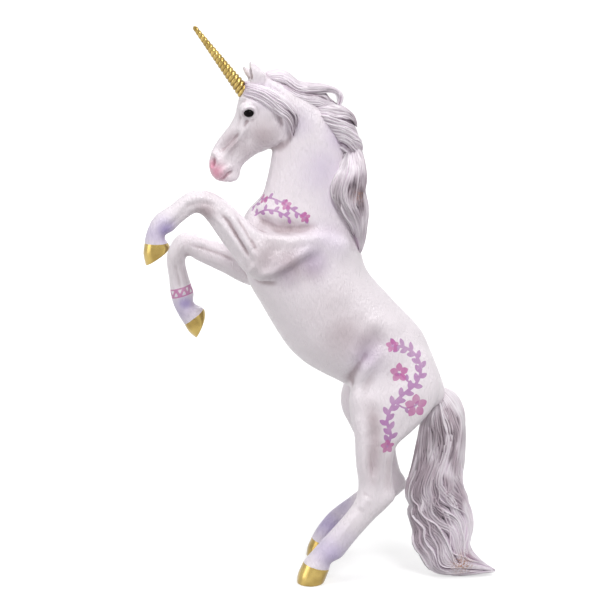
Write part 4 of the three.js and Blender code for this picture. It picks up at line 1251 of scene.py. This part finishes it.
gold, tree, shader = new_paint("gold_lacquer")
place = object_place(tree)
thick = ranged(tree, noise(tree, place, 1 / VARNISH, 1.0), *THICKER)
tint = mixed(tree, thick, colour(GOLD), colour(GOLD_THICK))
# painted shade in the grooves of the horn
tint = mixed(tree, stored(tree, "hollow"), tint, colour(GOLD_GROOVE_SHADE))
flakes = noise(tree, place, 1 / FLAKES, 1.0)
connect(tree, shader, {
    "Base Color": tint, "Roughness": ranged(tree, flakes, *NOISE_SPAN, *FLAKE_ROUGHNESS),
    "Metallic": 1.0, "Coat Weight": 0.5, "Coat Roughness": 0.1,
})
coat_with([horn_piece, *hoof_pieces], gold)
print("gold lacquer on", 1 + len(hoof_pieces), "pieces")

# %% [markdown]
# Black enamel: a drop of gloss paint. It gives the eye a deep black with one small clear highlight, and a
# faint haze keeps it from looking like glass.

# %% black enamel
BLACK = "#080406"
HAZE, HAZE_ROUGHNESS = 0.8 * MM, (0.03, 0.07)

black, tree, shader = new_paint("gloss_black_enamel")
haze = noise(tree, object_place(tree), 1 / HAZE, 2.0)
connect(tree, shader, {
    "Base Color": colour(BLACK), "Roughness": ranged(tree, haze, *NOISE_SPAN, *HAZE_ROUGHNESS),
    "Specular IOR Level": 0.07,
})
coat_with(eye_pieces, black)
print("black enamel on", len(eye_pieces), "pieces")

# %% [markdown]
# Washed PVC hair: pearl white, over which a thin grey-lilac wash ran into the grooves. It gives the eye
# pale ridges and dark lines between them: the ridges carry painted light, the grooves painted shade, and
# the wash darkens the grooves further. Strands of about 0.25 mm are drawn along each lock by stretched
# noise.

# %% washed hair
# painted light on the ridges and painted shade in the grooves: lit and shaded copies of the hair colour,
# with and without the wash
LIT_HAIR_RIDGE, LIT_RIDGE_WASHED = "#FCF7FB", "#CBBBC5"
SHADED_HAIR_GROOVE, SHADED_GROOVE_WASHED = "#DCCAD9", "#281A20"
HAIR_LILAC, MOST_LILAC, RIDGE_LILAC = "#DDC7E0", 0.5, 0.4  # a ridge takes only this share of the lilac
FINE_STRANDS = (4.0, 0.15, 9.0)  # per millimetre across, per millimetre along, from lock to lock
FINE_LIGHT, FINE_DEPTH = (-0.2, 0.4), 0.15 * MM  # how much a fine strand darkens or lightens, and its relief
PATCH_WIDTH, PATCH_LENGTH = 5 * MM, 11 * MM  # where the wash was wiped off again
WIPED, LEFT_ON = (0.35, 0.6), (0.15, 1.4)  # how softly such a patch begins, and the wash in and out of it
RUST, SPECKLE, SPECKLED = "#B97A4E", 0.5 * MM, (0.45, 0.6)

washed, tree, shader = new_paint("washed_pvc_hair")
place = object_place(tree)
fine = noise(tree, stretched(tree, stored(tree, "grain", "Vector"), Scale=FINE_STRANDS), 1.0, 2.0)
fine_part = ranged(tree, fine, *NOISE_SPAN, *FINE_LIGHT)
# the share of painted light: high on a lock's ridge, lower in its grooves, moved by the fine strands
light = combine(tree, "ADD", stored(tree, "ridge"), fine_part, clamp=True)
patch_place = stretched(tree, place, Scale=(1 / PATCH_WIDTH, 1 / PATCH_WIDTH, 1 / PATCH_LENGTH))
left_on = ranged(tree, noise(tree, patch_place, 1.0, 1.0), *WIPED, *LEFT_ON)
wash = combine(tree, "MULTIPLY", stored(tree, "wash"), left_on, clamp=True)
groove = mixed(tree, wash, colour(SHADED_HAIR_GROOVE), colour(SHADED_GROOVE_WASHED))
ridge = mixed(tree, wash, colour(LIT_HAIR_RIDGE), colour(LIT_RIDGE_WASHED))
tint = mixed(tree, light, groove, ridge)
held = ranged(tree, light, 0.0, 1.0, MOST_LILAC, RIDGE_LILAC * MOST_LILAC)
lilac = combine(tree, "MULTIPLY", stored(tree, "lilac"), held)
tint = mixed(tree, lilac, tint, colour(HAIR_LILAC))
speckle = ranged(tree, noise(tree, place, 1 / SPECKLE, 1.0), *SPECKLED)
rust = combine(tree, "MULTIPLY", speckle, stored(tree, "rust"))
tint = mixed(tree, rust, tint, colour(RUST))
connect(tree, shader, {
    "Base Color": tint, "Normal": raised(tree, fine, 0.5, FINE_DEPTH), "Roughness": 0.38,
})
coat_with(hair_pieces, washed)
print("washed hair on", len(hair_pieces), "pieces")

# %% [markdown]
# ## Floor and light
# A white paper sweep and soft boxes. The paper glows a little towards the camera, more with distance, so
# that it runs into the white of the room, and close to the figure it keeps the shadow.

# %% floor
FLOOR_HALF, FLOOR_DROP = 12.0, 0.02 * MM  # half its width, and how far it lies below the soles
PAPER = "#B8B8B8"
GLOW_NEAR, GLOW_FAR = 0.62, 0.9
GLOW_SPAN = (0.12, 0.9)  # metres from the figure over which the glow grows
floor_corners = [
    (x * FLOOR_HALF, y * FLOOR_HALF, -FLOOR_DROP) for x, y in ((-1, -1), (1, -1), (1, 1), (-1, 1))
]
floor_mesh = bpy.data.meshes.new("floor")
floor_mesh.from_pydata(floor_corners, [], [(0, 1, 2, 3)])
floor = bpy.data.objects.new("floor", floor_mesh)
bpy.context.scene.collection.objects.link(floor)


def seen_directly(tree):
    """1 for rays from the camera or a mirror-like surface, 0 for light on its way to a surface."""
    rays = add_node(tree, "LightPath", {}).outputs
    seen = rays["Is Camera Ray"]
    for other in ("Is Glossy Ray", "Is Transmission Ray"):
        seen = combine(tree, "MAXIMUM", seen, rays[other])
    return seen


paper, tree, shader = new_paint("white_paper_floor")
away = add_node(tree, "VectorMath", {0: object_place(tree)}, operation="LENGTH").outputs["Value"]
glow = ranged(tree, away, *GLOW_SPAN, GLOW_NEAR, GLOW_FAR)
connect(tree, shader, {
    "Emission Strength": combine(tree, "MULTIPLY", glow, seen_directly(tree)), "Emission Color": WHITE,
    "Base Color": colour(PAPER), "Roughness": 0.9,
})
floor_mesh.materials.append(paper)
print("floor:", 2 * FLOOR_HALF, "m wide")

# %% lights
ROOM_LIGHT = 0.36  # on its way to a surface; seen directly, the room is white
world = bpy.data.worlds.new("studio")
bpy.context.scene.world = world
world.use_nodes = True
tree = world.node_tree
level = ranged(tree, seen_directly(tree), 0.0, 1.0, ROOM_LIGHT, 1.0)
connect(tree, tree.nodes["Background"], {"Color": WHITE, "Strength": level})


def soft_box(name, place, wide, tall, watts):
    """A lamp behind a cloth, turned to the figure. Lengths are in metres."""
    lamp = bpy.data.lights.new(name, "AREA")
    lamp.shape = "RECTANGLE"
    lamp.size, lamp.size_y = wide, tall
    lamp.energy = watts
    box = bpy.data.objects.new(name, lamp)
    bpy.context.scene.collection.objects.link(box)
    box.location = place
    box.rotation_euler = (LOOK_AT - Vector(place)).to_track_quat("-Z", "Y").to_euler()


soft_box("key_box", (0.3, -0.68, 0.88), 0.35, 0.35, 5.3)
soft_box("left_box", (-0.95, -0.3, 0.42), 0.6, 0.9, 3.0)
soft_box("overhead_box", (0.0, -0.1, 1.05), 0.35, 0.35, 2.9)
soft_box("back_box", (0.2, 0.95, 0.6), 0.4, 0.4, 2.6)
bpy.context.scene.view_settings.view_transform = "Standard"
